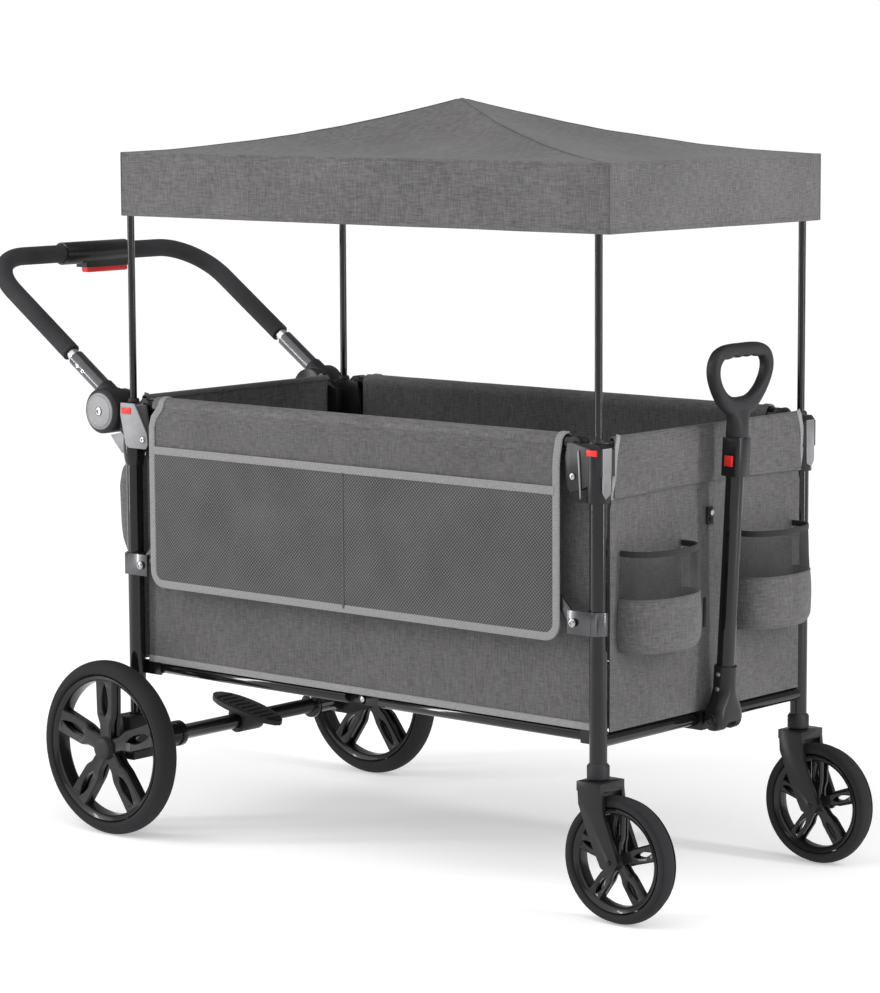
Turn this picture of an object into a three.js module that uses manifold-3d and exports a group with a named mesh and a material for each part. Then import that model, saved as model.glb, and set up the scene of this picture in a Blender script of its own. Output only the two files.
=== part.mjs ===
import * as THREE from 'three';
import { mergeVertices } from 'three/addons/utils/BufferGeometryUtils.js';
import Module from 'manifold-3d';

// Stroller wagon with a folding frame, canopy, push handle and pull handle.
// Millimetres. +X is the front (pull handle), +Y the left side, +Z up, ground at z = 0.

// ---- driving dimensions ----
const GAP = 0.3;                      // clearance left between touching pieces
const WHEELBASE = 942;                // front post centre to rear post centre
const TRACK = 494;                    // left post centre to right post centre
const POST_R = 13;
const POST_TOP = 626;
const RAIL_R = 10;                    // floor side rails and cross rails
const RAIL_Z = 262;
const RAIL_IN = 25;                   // floor rail centre line, inboard of the posts
const TOP_R = 11;                     // top side rails
const TOP_Z = 686;
const PIVOT_IN = 35;                  // end pivots, inboard of the post centre lines
const PIN_R = 4;
const KNUCKLE = 34;                   // tube cut back from a centre hinge
const POLE_R = 5.75;
const REAR_R = 140;                   // rear wheel
const REAR_W = 40;
const REAR_OUT = 63;                  // rear wheel centre, outboard of the posts
const AXLE_R = 12.5;
const STUB_R = 8;
const CASTER_R = 93;
const CASTER_W = 34;
const TRAIL = 40;                     // caster axle ahead of the swivel line
const CROWN_TOP = 204.7;
const CANOPY_OVER_X = 36;             // canopy longer than the wheelbase
const CANOPY_OVER_Y = 17;             // canopy wider than the track
const CANOPY_DX = 7.5;
const VALANCE_Z = 984;
const EAVE_Z = 1082.5;
const PEAK_Z = 1167.5;
const CLOTH = 2.5;
const FLAP_BOTTOM = 401;
const HUB_R = 36;
const HUB_Z = 672;
const HUB_W = 41;
const ARM_RISE = 34.8;                // degrees
const ARM_LIFT = 19;                  // arm centre line above the hub centre
const ARM_LEN = 378;                  // hub to the virtual corner of the bow
const BOW_R = 88;
const ARM_TUBE_R = 13.5;
const BOW_TUBE_R = 10;
const ARM_TUBE_LEN = 112;
const FOAM_R = 15;
const FOAM_START = 126;
const LEVER_LEN = 90;
const PULL_OUT = 39;                  // pull handle pivot ahead of the front posts
const PULL_Z = 264;
const PULL_LEAN = 3;                  // degrees
const PULL_TUBE_R = 13.5;
const PULL_TOP = 362;                 // pivot to the top of the outer tube
const GRIP_W = 148;
const GRIP_TOP = 555;                 // pivot to the top of the D grip
const CLAMP_Z = 431;
const CLAMP_H = 34;
const STAY_LEN = 285;
const STAY_RISE = 44.5;
const CUP_Y = 138;
const CUP_HALF = 76;
const CUP_DEPTH = 64;
const CUP_TOP = 531;
const CUP_BOTTOM = 384;
const BAG_TOP = 590;
const BAG_BOTTOM = 362;
const BAG_HALF = 195;

// ---- derived ----
const XP = WHEELBASE / 2;
const YP = TRACK / 2;
const XV = XP - PIVOT_IN;
const YR = YP - RAIL_IN;
const HOLE_R = PIN_R + 0.25;
const BRACKET_BOTTOM = POST_TOP - 22;
const BRACKET_TOP = TOP_Z + 2;
const WALL_Y = YP - TOP_R - 0.6;
const STAY_Y = YP + TOP_R + 1.2;
const CANOPY_L = WHEELBASE + CANOPY_OVER_X;
const CANOPY_W = TRACK + CANOPY_OVER_Y;
const SOCKET_R = POST_R + 4;          // bracket's round socket on the post
const HUB_BACK = HUB_R + SOCKET_R;    // hub centre behind the rear posts

const wasm = await Module();
wasm.setup();

// ---- small helpers ----
function toSolid(geometry) {
  const bare = new THREE.BufferGeometry();
  const source = geometry.index ? geometry.toNonIndexed() : geometry;
  bare.setAttribute('position', source.getAttribute('position').clone());
  const merged = mergeVertices(bare, 1e-4);
  const mesh = new wasm.Mesh({
    numProp: 3,
    vertProperties: new Float32Array(merged.attributes.position.array),
    triVerts: new Uint32Array(merged.index.array),
  });
  mesh.merge();
  return new wasm.Manifold(mesh);
}

function fromSolid(solid) {
  const mesh = solid.getMesh();
  const geometry = new THREE.BufferGeometry();
  const count = mesh.vertProperties.length / mesh.numProp;
  const positions = new Float32Array(count * 3);
  for (let i = 0; i < count; i += 1) {
    positions.set(mesh.vertProperties.subarray(i * mesh.numProp, i * mesh.numProp + 3), i * 3);
  }
  geometry.setAttribute('position', new THREE.BufferAttribute(positions, 3));
  geometry.setIndex(new THREE.BufferAttribute(new Uint32Array(mesh.triVerts), 1));
  const flat = geometry.toNonIndexed();
  flat.computeVertexNormals();
  return flat;
}

function join(...geometries) {
  let solid = toSolid(geometries[0]);
  for (const geometry of geometries.slice(1)) {
    solid = solid.add(toSolid(geometry));
  }
  return fromSolid(solid);
}

function cut(geometry, ...tools) {
  let solid = toSolid(geometry);
  for (const tool of tools) {
    solid = solid.subtract(toSolid(tool));
  }
  return fromSolid(solid);
}

function box(x0, x1, y0, y1, z0, z1) {
  const geometry = new THREE.BoxGeometry(x1 - x0, y1 - y0, z1 - z0);
  return geometry.translate((x0 + x1) / 2, (y0 + y1) / 2, (z0 + z1) / 2);
}

function rod(axis, r, a0, a1, p, q, segments = 18) {
  const geometry = new THREE.CylinderGeometry(r, r, a1 - a0, segments);
  const mid = (a0 + a1) / 2;
  if (axis === 'x') {
    return geometry.rotateZ(-Math.PI / 2).translate(mid, p, q);
  }
  if (axis === 'y') {
    return geometry.translate(p, mid, q);
  }
  return geometry.rotateX(Math.PI / 2).translate(p, q, mid);
}

function lathe(points, segments) {
  return new THREE.LatheGeometry(points.map(([r, h]) => new THREE.Vector2(r, h)), segments);
}

function plate(points, y0, y1, holes = []) {
  const shape = new THREE.Shape(points.map(([x, z]) => new THREE.Vector2(x, z)));
  for (const hole of holes) {
    shape.holes.push(new THREE.Path(hole.map(([x, z]) => new THREE.Vector2(x, z))));
  }
  const geometry = new THREE.ExtrudeGeometry(shape, { depth: y1 - y0, bevelEnabled: false });
  return geometry.rotateX(Math.PI / 2).translate(0, y1, 0);
}

function circlePoints(x, z, r, n) {
  const points = [];
  for (let i = 0; i < n; i += 1) {
    const a = (i / n) * Math.PI * 2;
    points.push([x + r * Math.cos(a), z + r * Math.sin(a)]);
  }
  return points;
}

// Skin a list of rings with equal point counts; the end rings are capped by a fan.
function loft(rings, closed = false) {
  const n = rings[0].length;
  const positions = [];
  const quad = (a, b, c, d) => {
    positions.push(...a, ...b, ...c, ...a, ...c, ...d);
  };
  const pairs = closed ? rings.length : rings.length - 1;
  for (let k = 0; k < pairs; k += 1) {
    const lower = rings[k];
    const upper = rings[(k + 1) % rings.length];
    for (let i = 0; i < n; i += 1) {
      const j = (i + 1) % n;
      quad(lower[i], lower[j], upper[j], upper[i]);
    }
  }
  if (!closed) {
    const first = rings[0];
    const last = rings[rings.length - 1];
    for (let i = 1; i < n - 1; i += 1) {
      positions.push(...first[0], ...first[i + 1], ...first[i]);
      positions.push(...last[0], ...last[i], ...last[i + 1]);
    }
  }
  const keep = [];
  for (let t = 0; t < positions.length; t += 9) {
    const a = new THREE.Vector3(...positions.slice(t, t + 3));
    const b = new THREE.Vector3(...positions.slice(t + 3, t + 6));
    const c = new THREE.Vector3(...positions.slice(t + 6, t + 9));
    const area = b.clone().sub(a).cross(c.clone().sub(a)).length();
    if (area > 1e-6) {
      keep.push(...positions.slice(t, t + 9));
    }
  }
  const geometry = new THREE.BufferGeometry();
  geometry.setAttribute('position', new THREE.Float32BufferAttribute(keep, 3));
  geometry.computeVertexNormals();
  return geometry;
}

// Round section swept along a path that lies in one plane with the given normal.
function sweep(path, normal, r, bore = 0, segments = 12) {
  const rings = path.map((point, i) => {
    const before = path[Math.max(i - 1, 0)];
    const after = path[Math.min(i + 1, path.length - 1)];
    const along = after.clone().sub(before).normalize();
    const side = along.clone().cross(normal).normalize();
    return { point, side };
  });
  const ring = ({ point, side }, radius) => {
    const points = [];
    for (let k = 0; k < segments; k += 1) {
      const a = (k / segments) * Math.PI * 2;
      const p = point.clone();
      p.addScaledVector(normal, radius * Math.cos(a));
      p.addScaledVector(side, radius * Math.sin(a));
      points.push(p.toArray());
    }
    return points;
  };
  const outer = rings.map((section) => ring(section, r));
  if (!bore) {
    return loft(outer);
  }
  const inner = rings.map((section) => ring(section, bore)).reverse();
  return loft([...outer, ...inner], true);
}

function mirror(geometry) {
  const flat = geometry.index ? geometry.toNonIndexed() : geometry.clone();
  const position = flat.getAttribute('position');
  for (let i = 0; i < position.count; i += 3) {
    const p = [0, 1, 2].map((k) => new THREE.Vector3().fromBufferAttribute(position, i + k));
    [0, 2, 1].forEach((k, m) => position.setXYZ(i + m, p[k].x, -p[k].y, p[k].z));
  }
  const bare = new THREE.BufferGeometry();
  bare.setAttribute('position', position.clone());
  bare.computeVertexNormals();
  return bare;
}

// ---- frames ----
function pivotEar(x) {
  const toPost = Math.sign(x) * XP;
  const ear = box(Math.min(x, toPost) - 6, Math.max(x, toPost) + 6, YR + RAIL_R, YP - POST_R + 3,
    RAIL_Z - 11, RAIL_Z + 11);
  return [ear, rod('y', PIN_R, YR - RAIL_R, YR + RAIL_R + 1, x, RAIL_Z, 14)];
}

function endFrame(x, zLow) {
  const pieces = [rod('y', RAIL_R, -YP, YP, x, RAIL_Z - 2)];
  for (const side of [1, -1]) {
    pieces.push(rod('z', POST_R, zLow, POST_TOP, x, side * YP));
    for (const piece of pivotEar(Math.sign(x) * XV)) {
      pieces.push(side > 0 ? piece : mirror(piece));
    }
  }
  return pieces;
}

function rearFrame() {
  return join(...endFrame(-XP, 166));
}

function frontFrame() {
  const pieces = endFrame(XP, CROWN_TOP + GAP);
  const bores = [];
  for (const side of [1, -1]) {
    pieces.push(rod('z', POST_R + 3, CROWN_TOP + GAP, CROWN_TOP + 12, XP, side * YP));
    bores.push(rod('z', STUB_R + GAP, CROWN_TOP - 1, CROWN_TOP + 46, XP, side * YP));
  }
  return cut(join(...pieces), ...bores);
}

// Corner bracket: post socket below, canopy pole socket above, slot for the top rail end.
function bracketBody(sign) {
  const outer = YP + 15;
  const inner = YP - 16;
  const x = (v) => sign * v;
  const outline = [
    [x(XP + SOCKET_R), BRACKET_BOTTOM + 38], [x(XP + SOCKET_R), BRACKET_TOP - 8], [x(XP + 10), BRACKET_TOP],
    [x(XV - 10), BRACKET_TOP], [x(XV - 15), BRACKET_TOP - 30], [x(XV - 13), BRACKET_BOTTOM + 22],
    [x(XV - 4), BRACKET_BOTTOM + 13], [x(XP - 16), BRACKET_BOTTOM + 20],
  ];
  if (sign < 0) {
    outline.reverse();
  }
  const body = join(plate(outline.reverse(), inner, outer),
    rod('z', SOCKET_R, BRACKET_BOTTOM, BRACKET_TOP - 8, x(XP), YP, 24));
  const slotEdge = XV + TOP_R + 4;
  const slot = box(Math.min(x(XV - 40), x(slotEdge)), Math.max(x(XV - 40), x(slotEdge)),
    YP - TOP_R - 0.4, YP + TOP_R + 0.4, BRACKET_BOTTOM - 1, BRACKET_TOP + 1);
  const socket = rod('z', POST_R + GAP, BRACKET_BOTTOM - 1, POST_TOP + GAP, x(XP), YP);
  const pole = rod('z', POLE_R + GAP, POST_TOP + 14, BRACKET_TOP + 1, x(XP), YP, 16);
  return cut(body, slot, socket, pole);
}

function frontBracket() {
  return join(bracketBody(1), rod('y', PIN_R, YP - 16, YP + 15, XV, TOP_Z, 14));
}

function rearBracket() {
  const hubX = -XP - HUB_BACK;
  const y0 = YP - 33;
  const y1 = ARM_Y - ARM_TUBE_R - 2.4 - GAP;
  const fin = plate([
    [hubX, HUB_Z + 26], [hubX - 20, HUB_Z], [hubX, HUB_Z - 30], [-XP - 4, BRACKET_BOTTOM + 2],
    [-XP + 12, BRACKET_BOTTOM + 20], [-XP + 12, BRACKET_TOP - 14], [-XP - 10, BRACKET_TOP - 6],
  ], y0, y1);
  const web = box(-XP - 15, -XP + 12, y0, YP - POST_R - 1, BRACKET_BOTTOM + 18, BRACKET_TOP - 14);
  const disc = rod('y', HUB_R - 3, y0, y1, hubX, HUB_Z, 24);
  const pin = rod('y', PIN_R, YP - 16, YP + 15, -XV, TOP_Z, 14);
  return join(bracketBody(-1), fin, web, disc, pin);
}

function clamp(sign) {
  const x = sign * XP;
  const zLow = CLAMP_Z - CLAMP_H / 2;
  const zHigh = CLAMP_Z + CLAMP_H / 2;
  const inner = sign * (XP - 43);
  const ear = box(Math.min(x, inner), Math.max(x, inner), STAY_Y + 3.4, STAY_Y + 6, zLow, zHigh);
  const ring = rod('z', POST_R + 3.5, zLow, zHigh, x, YP, 24);
  const bridge = box(x - 8, x + 8, YP + 12, STAY_Y + 5, zLow, zHigh);
  const pin = rod('y', 3, STAY_Y - 1.5, STAY_Y + 4, sign * (XP - 31), CLAMP_Z, 12);
  return cut(join(ring, bridge, ear, pin), rod('z', POST_R + GAP, zLow - 1, zHigh + 1, x, YP));
}

function stay(sign) {
  const bar = new THREE.BoxGeometry(STAY_LEN, 3, 16).translate(STAY_LEN / 2, 0, 0);
  const tips = [0, STAY_LEN].map((t) => rod('y', 8, -1.5, 1.5, t, 0, 16));
  const holes = [rod('y', 3.25, -3, 3, 0, 0, 12), rod('y', 3.25, -3, 3, STAY_LEN, 0, 12)];
  const geometry = cut(join(bar, ...tips), ...holes);
  geometry.rotateY(-THREE.MathUtils.degToRad(STAY_RISE));
  const placed = sign < 0 ? geometry : flipX(geometry);
  return placed.translate(sign * (XP - 31), STAY_Y + 1.5, CLAMP_Z);
}

function flipX(geometry) {
  return mirror(geometry.clone().rotateZ(Math.PI));
}

// ---- folding rails ----
function railHalf(front, r, y, z, openEye) {
  // the rear half runs from the rear pivot to the centre; the front half from the centre on
  const sign = front ? 1 : -1;
  const span = (a, b) => [Math.min(sign * a, sign * b), Math.max(sign * a, sign * b)];
  const [t0, t1] = span(KNUCKLE, XV - 6);
  const endEye = rod('y', r, y - r + 0.6, y + r - 0.6, sign * XV, z, 16);
  const lugLow = front ? 0.4 : -8;
  const lugHigh = front ? 8 : -0.4;
  const [l0, l1] = span(0, KNUCKLE + 8);
  const lug = box(l0, l1, y + lugLow, y + lugHigh, z - 8, z + 8);
  const lugTip = rod('y', 8, y + lugLow, y + lugHigh, 0, z, 14);
  const pieces = [rod('x', r, t0, t1, y, z), endEye, lug, lugTip];
  const holes = [rod('y', PIN_R + openEye, y - r - 1, y + r + 1, sign * XV, z, 16)];
  if (front) {
    holes.push(rod('y', PIN_R + 0.25, y, y + 9, 0, z, 16));
  } else {
    pieces.push(rod('y', PIN_R, y - 8, y + 8, 0, z, 14));
  }
  return cut(join(...pieces), ...holes);
}

function floorHalf(front) {
  const sign = front ? 1 : -1;
  const near = 3;
  const far = XV - 10;
  const board = box(Math.min(sign * near, sign * far), Math.max(sign * near, sign * far),
    -YR + 9, YR - 9, RAIL_Z + 1, RAIL_Z + 9);
  const relief = [];
  const rails = [];
  for (const side of [1, -1]) {
    const rail = railHalf(front, RAIL_R, YR, RAIL_Z, 0.25);
    rails.push(side > 0 ? rail : mirror(rail));
    const notch = box(-KNUCKLE, KNUCKLE, YR - 9.5, YR + 1, RAIL_Z - 12, RAIL_Z + 12);
    relief.push(side > 0 ? notch : mirror(notch));
  }
  const crossAt = sign * (XV - 60);
  const cross = rod('y', 8, -YR, YR, crossAt, RAIL_Z - 1, 16);
  return join(...rails, cut(board, ...relief), cross);
}

// ---- rear axle, wheels ----
function rearAxle() {
  const reach = YP + REAR_OUT;
  const half = [
    [0, reach + 16], [STUB_R, reach + 16], [STUB_R, YP + 40], [AXLE_R, YP + 40], [AXLE_R, YP - 27],
    [18, YP - 27], [18, YP - 82], [21, YP - 82], [21, YP - 92], [AXLE_R, YP - 92],
  ];
  const other = half.map(([r, h]) => [r, -h]).reverse();
  return lathe([...half, ...other].reverse(), 18).translate(-XP, 0, REAR_R);
}

function axleHousing() {
  const body = plate([
    [-XP - 26, REAR_R - 22], [-XP + 26, REAR_R - 22], [-XP + 30, REAR_R + 8],
    [-XP + 20, REAR_R + 46], [-XP - 20, REAR_R + 46], [-XP - 30, REAR_R + 8],
  ], YP - 24, YP + 38);
  return cut(body, rod('y', AXLE_R + GAP, YP - 25, YP + 39, -XP, REAR_R, 22),
    rod('z', POST_R + GAP, REAR_R + 20, REAR_R + 60, -XP, YP));
}

function tyre(r, bead, width) {
  const h = width / 2;
  return lathe([
    [bead, -h + 5], [bead + 5, -h + 1], [r - 12, -h], [r - 3, -h + 6], [r, -h + 13],
    [r, h - 13], [r - 3, h - 6], [r - 12, h], [bead + 5, h - 1], [bead, h - 5], [bead, -h + 5],
  ], 32);
}

function polar(r, degrees) {
  const a = THREE.MathUtils.degToRad(degrees);
  return [r * Math.cos(a), r * Math.sin(a)];
}

function rim(outer, width, hubR, hubHalf, boreR, blind) {
  const inner = outer - 9;
  const h = width / 2;
  const ring = lathe([
    [inner, -h + 7], [outer, -h + 7], [outer, h - 7], [inner, h - 7], [inner, -h + 7],
  ], 32);
  const face = [];
  for (let k = 0; k < 32; k += 1) {
    face.push(polar(inner + 3, k * 11.25));
  }
  const holes = [];
  for (let k = 0; k < 5; k += 1) {
    const mid = 90 + k * 72;
    const wide = 13 * (60 / inner) ** 0.3;
    const window = [];
    for (let i = 0; i <= 3; i += 1) {
      window.push(polar(inner - 3, mid + wide + (i / 3) * (72 - 2 * wide)));
    }
    window.push(polar(hubR + 9, mid + 72 - 23));
    window.push(polar(hubR + 9, mid + 23));
    holes.push(window);
    holes.push([
      polar(inner - 5, mid + wide * 0.32), polar(inner - 5, mid - wide * 0.32),
      polar(hubR + 13, mid - 3), polar(hubR + 13, mid + 3),
    ]);
  }
  const spokes = plate(face, -h + 12, h - 12, holes);
  const hub = rod('y', hubR, -hubHalf, hubHalf, 0, 0, 16);
  const bore = rod('y', boreR, -hubHalf - 1, blind ? hubHalf - 5 : hubHalf + 1, 0, 0, 20);
  return cut(join(ring, spokes, hub), bore);
}

function brakePedal() {
  const points = [];
  for (let k = 0; k < 20; k += 1) {
    const a = (k / 20) * Math.PI * 2;
    points.push(new THREE.Vector2(76 * Math.cos(a), 31 * Math.sin(a) * (1 - 0.12 * Math.cos(a))));
  }
  const pad = new THREE.ExtrudeGeometry(new THREE.Shape(points), { depth: 8, bevelEnabled: false });
  pad.translate(0, 0, AXLE_R + 1.5);
  const ribs = [];
  for (let k = -4; k <= 4; k += 1) {
    ribs.push(box(k * 14 - 2, k * 14 + 2, -18, 18, AXLE_R + 8.5, AXLE_R + 11));
  }
  const body = join(pad, rod('y', AXLE_R + 7, -24, 24, 0, 0, 24), box(-19, 19, -24, 24, 0, AXLE_R + 2.5), ...ribs);
  const bored = cut(body, rod('y', AXLE_R + GAP, -30, 30, 0, 0, 22));
  return bored.rotateY(THREE.MathUtils.degToRad(12)).translate(-XP, 0, REAR_R);
}

// ---- casters ----
function casterFork() {
  const ax = XP + TRAIL;
  const legShape = [
    [XP - 17, CROWN_TOP - 2], [XP - 15, 172], [XP + 2, 130], [ax - 15, 84], [ax - 4, 78],
    [ax + 10, 82], [ax + 16, 94], [ax + 10, 112], [XP + 30, 160], [XP + 25, CROWN_TOP - 2],
  ].reverse();
  const legIn = CASTER_W / 2 + 3.5;
  const crown = box(XP - 18, XP + 26, YP - legIn - 7, YP + legIn + 7, CROWN_TOP - 14, CROWN_TOP);
  const legs = [
    plate(legShape, YP + legIn, YP + legIn + 7), plate(legShape, YP - legIn - 7, YP - legIn),
  ];
  const stem = rod('z', STUB_R, CROWN_TOP - 4, CROWN_TOP + 44, XP, YP);
  const axle = rod('y', 4, YP - legIn - 10, YP + legIn + 10, ax, CASTER_R, 14);
  return join(crown, ...legs, stem, axle);
}

// ---- push handle ----
const hubX = -XP - HUB_BACK;
const rise = THREE.MathUtils.degToRad(ARM_RISE);
const armDir = new THREE.Vector3(-Math.cos(rise), 0, Math.sin(rise));
const armNormal = new THREE.Vector3(Math.sin(rise), 0, Math.cos(rise));
const armStart = new THREE.Vector3(hubX, 0, HUB_Z).addScaledVector(armNormal, ARM_LIFT);
const ARM_Y = YP - 3;

function armPoint(t, y) {
  const point = armStart.clone().addScaledVector(armDir, t);
  point.y = y;
  return point;
}

function pushHub() {
  const y1 = YP + 25;
  const y0 = y1 - HUB_W;
  const barrel = lathe([
    [0, y0], [HUB_R - 1, y0], [HUB_R, y0 + 2], [HUB_R, y1 - 5], [HUB_R - 4, y1 - 1],
    [HUB_R - 8, y1 - 1], [HUB_R - 9, y1], [0, y1],
  ], 30).translate(hubX, 0, HUB_Z);
  const collar = sweep([armPoint(4, ARM_Y), armPoint(34, ARM_Y)], armNormal, ARM_TUBE_R + 2.4);
  const tubeRoom = sweep([armPoint(14, ARM_Y), armPoint(60, ARM_Y)], armNormal, ARM_TUBE_R + GAP, 0, 18);
  return cut(join(barrel, collar), tubeRoom);
}

function pushTube() {
  const outer = sweep([armPoint(14.5, ARM_Y), armPoint(ARM_TUBE_LEN, ARM_Y)], armNormal,
    ARM_TUBE_R - 0.1, 0, 18);
  const bore = sweep([armPoint(18, ARM_Y), armPoint(ARM_TUBE_LEN + 2, ARM_Y)], armNormal,
    BOW_TUBE_R + GAP + 0.2, 0, 18);
  return cut(outer, bore);
}

function bowPath(start) {
  const points = [armPoint(start, ARM_Y)];
  const steps = 7;
  const corner = armPoint(ARM_LEN, ARM_Y);
  for (let k = 0; k <= steps; k += 1) {
    const a = (k / steps) * Math.PI / 2;
    const point = corner.clone();
    point.addScaledVector(armDir, -BOW_R * (1 - Math.sin(a)));
    point.y = ARM_Y - BOW_R * (1 - Math.cos(a));
    points.push(point);
  }
  const far = points.slice().reverse().map((p) => new THREE.Vector3(p.x, -p.y, p.z));
  return [...points, ...far];
}

function pushBow() {
  return sweep(bowPath(22), armNormal, BOW_TUBE_R);
}

function pushFoam() {
  return sweep(bowPath(FOAM_START), armNormal, FOAM_R, BOW_TUBE_R + GAP);
}

function pushHousing() {
  const c = armPoint(ARM_LEN, 0);
  const body = join(rod('y', FOAM_R + 4, -70, 76, c.x, c.z, 24),
    box(c.x - 13, c.x + 13, -24, 76 + 7, c.z - 25, c.z));
  return cut(body, rod('y', FOAM_R + GAP + 0.2, -72, 90, c.x, c.z, 20),
    box(c.x - 9.5, c.x + 9.5, -17.5, LEVER_LEN - 13.5, c.z - 40, c.z));
}

function pushLever() {
  const c = armPoint(ARM_LEN, 0);
  return box(c.x - 9, c.x + 9, -17, LEVER_LEN - 14, c.z - 34, c.z - FOAM_R - 4);
}

// ---- pull handle ----
function placePull(geometry) {
  return geometry.rotateY(THREE.MathUtils.degToRad(PULL_LEAN)).translate(XP + PULL_OUT, 0, PULL_Z);
}

function pullBracket() {
  const railZ = RAIL_Z - 2;
  const block = box(XP - 16, XP + 17, -24, 24, railZ - 16, railZ + 11);
  const lug = box(XP + 16, XP + PULL_OUT, -9, 9, PULL_Z - 12, PULL_Z + 12);
  const nose = rod('y', 12, -9, 9, XP + PULL_OUT, PULL_Z, 20);
  const pin = rod('y', 5, -34, 34, XP + PULL_OUT, PULL_Z, 14);
  return cut(join(block, lug, nose, pin), rod('y', RAIL_R + GAP, -30, 30, XP, railZ));
}

function pullFoot() {
  const cheek = rod('y', 18, -30, 30, 0, 0, 24);
  const neck = box(-13, 13, -26, 26, 6, 34);
  const cup = lathe([[0, 26], [25, 26], [17, 62], [17, 78], [0, 78]], 20).rotateX(Math.PI / 2);
  cup.scale(0.95, 1, 1);
  const room = box(-40, 14, -9.4, 9.4, -30, 21);
  const bore = rod('y', 5.25, -40, 40, 0, 0, 16);
  const socket = rod('z', PULL_TUBE_R + GAP, 40, 90, 0, 0);
  const roomUp = box(-40, 40, -9.4, 9.4, -30, 16);
  return placePull(cut(join(cheek, neck, cup), room, roomUp, bore, socket));
}

function pullTube() {
  const outer = rod('z', PULL_TUBE_R, 40.5, PULL_TOP, 0, 0, 24);
  return placePull(cut(outer, rod('z', 11.5, 46, PULL_TOP + 2, 0, 0, 24)));
}

function pullCollar() {
  const shape = box(-16, 16, -16, 16, PULL_TOP - 2, PULL_TOP + 54);
  const soft = new THREE.CylinderGeometry(20.5, 20.5, 80, 24).rotateX(Math.PI / 2);
  soft.translate(0, 0, PULL_TOP + 20);
  const trimmed = fromSolid(toSolid(shape).intersect(toSolid(soft)));
  const bore = rod('z', 11.5, PULL_TOP - 5, PULL_TOP + 70, 0, 0, 24);
  const seat = rod('z', PULL_TUBE_R + GAP, PULL_TOP - 5, PULL_TOP + 12 + GAP, 0, 0, 24);
  const slot = box(-7.3, 7.3, -17, -12.5, PULL_TOP + 12.7, PULL_TOP + 29.3);
  return placePull(cut(trimmed, bore, seat, slot));
}

function pullButton() {
  return placePull(box(-7, 7, -19.5, -15.2, PULL_TOP + 13, PULL_TOP + 29));
}

function pullGrip() {
  const low = PULL_TOP + 55;
  const half = GRIP_W / 2;
  const base = GRIP_TOP - 99;
  const arc = (cx, cz, r, from, to, steps) => {
    const points = [];
    for (let k = 0; k <= steps; k += 1) {
      const a = THREE.MathUtils.degToRad(from + ((to - from) * k) / steps);
      points.push([cx + r * Math.cos(a), cz + r * Math.sin(a)]);
    }
    return points;
  };
  const outline = [
    [-15, low], [15, low], [18, base - 8], [34, base + 8],
    ...arc(half - 34, GRIP_TOP - 34, 34, -20, 90, 6),
    ...arc(-half + 34, GRIP_TOP - 34, 34, 90, 200, 6),
    [-34, base + 8], [-18, base - 8],
  ];
  const opening = [
    [-14, base + 22], [14, base + 22],
    ...arc(half - 34, GRIP_TOP - 34, 20, -24, 90, 5),
    ...arc(-half + 34, GRIP_TOP - 34, 20, 90, 204, 5),
  ];
  const shape = new THREE.Shape(outline.map(([y, z]) => new THREE.Vector2(y, z)));
  shape.holes.push(new THREE.Path(opening.reverse().map(([y, z]) => new THREE.Vector2(y, z))));
  const ring = new THREE.ExtrudeGeometry(shape, {
    depth: 12, bevelEnabled: true, bevelThickness: 4, bevelSize: 3, bevelOffset: -3, bevelSegments: 1,
  });
  ring.translate(0, 0, -6);
  ring.applyMatrix4(new THREE.Matrix4().set(0, 0, 1, 0, 1, 0, 0, 0, 0, 1, 0, 0, 0, 0, 0, 1));
  const stem = rod('z', 11.2, PULL_TOP - 230, low + 4, 0, 0, 20);
  return placePull(join(ring, stem));
}

// ---- soft parts ----
function arcBand(yc, zc, r0, r1, steps) {
  const outer = [];
  const inner = [];
  for (let k = 0; k <= steps; k += 1) {
    const a = (k / steps) * Math.PI;
    outer.push([yc + r1 * Math.cos(a), zc + r1 * Math.sin(a)]);
    inner.push([yc + r0 * Math.cos(a), zc + r0 * Math.sin(a)]);
  }
  return { outer, inner };
}

// Prism along X of a polygon given in the YZ plane.
function prismX(points, x0, x1) {
  const shape = new THREE.Shape(points.map(([y, z]) => new THREE.Vector2(y, z)));
  const geometry = new THREE.ExtrudeGeometry(shape, { depth: x1 - x0, bevelEnabled: false });
  geometry.applyMatrix4(new THREE.Matrix4().set(0, 0, 1, x0, 1, 0, 0, 0, 0, 1, 0, 0, 0, 0, 0, 1));
  return geometry;
}

function sidePanel() {
  const reach = XV - 21;
  const corner = XP - POST_R - 3;
  const low = RAIL_Z + 11;
  const wall = plate([
    [-corner, low], [corner, low], [corner, BRACKET_BOTTOM - 4], [reach, BRACKET_BOTTOM - 4],
    [reach, TOP_Z + 1], [-reach, TOP_Z + 1], [-reach, BRACKET_BOTTOM - 4], [-corner, BRACKET_BOTTOM - 4],
  ], WALL_Y - CLOTH, WALL_Y);
  const r0 = TOP_R + 0.6;
  const { outer, inner } = arcBand(YP, TOP_Z, r0, r0 + CLOTH, 10);
  const roll = prismX([...outer, ...inner.reverse()], -reach, reach);
  const flapIn = STAY_Y + 4.8;
  const flap = prismX([
    [YP + r0, TOP_Z + 2], [YP + r0, TOP_Z - 3], [flapIn, TOP_Z - 22], [flapIn, FLAP_BOTTOM],
    [flapIn + CLOTH, FLAP_BOTTOM], [flapIn + CLOTH, TOP_Z - 22], [YP + r0 + CLOTH, TOP_Z - 1],
    [YP + r0 + CLOTH, TOP_Z + 2],
  ].reverse(), -reach, reach);
  return join(wall, roll, flap);
}

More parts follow.
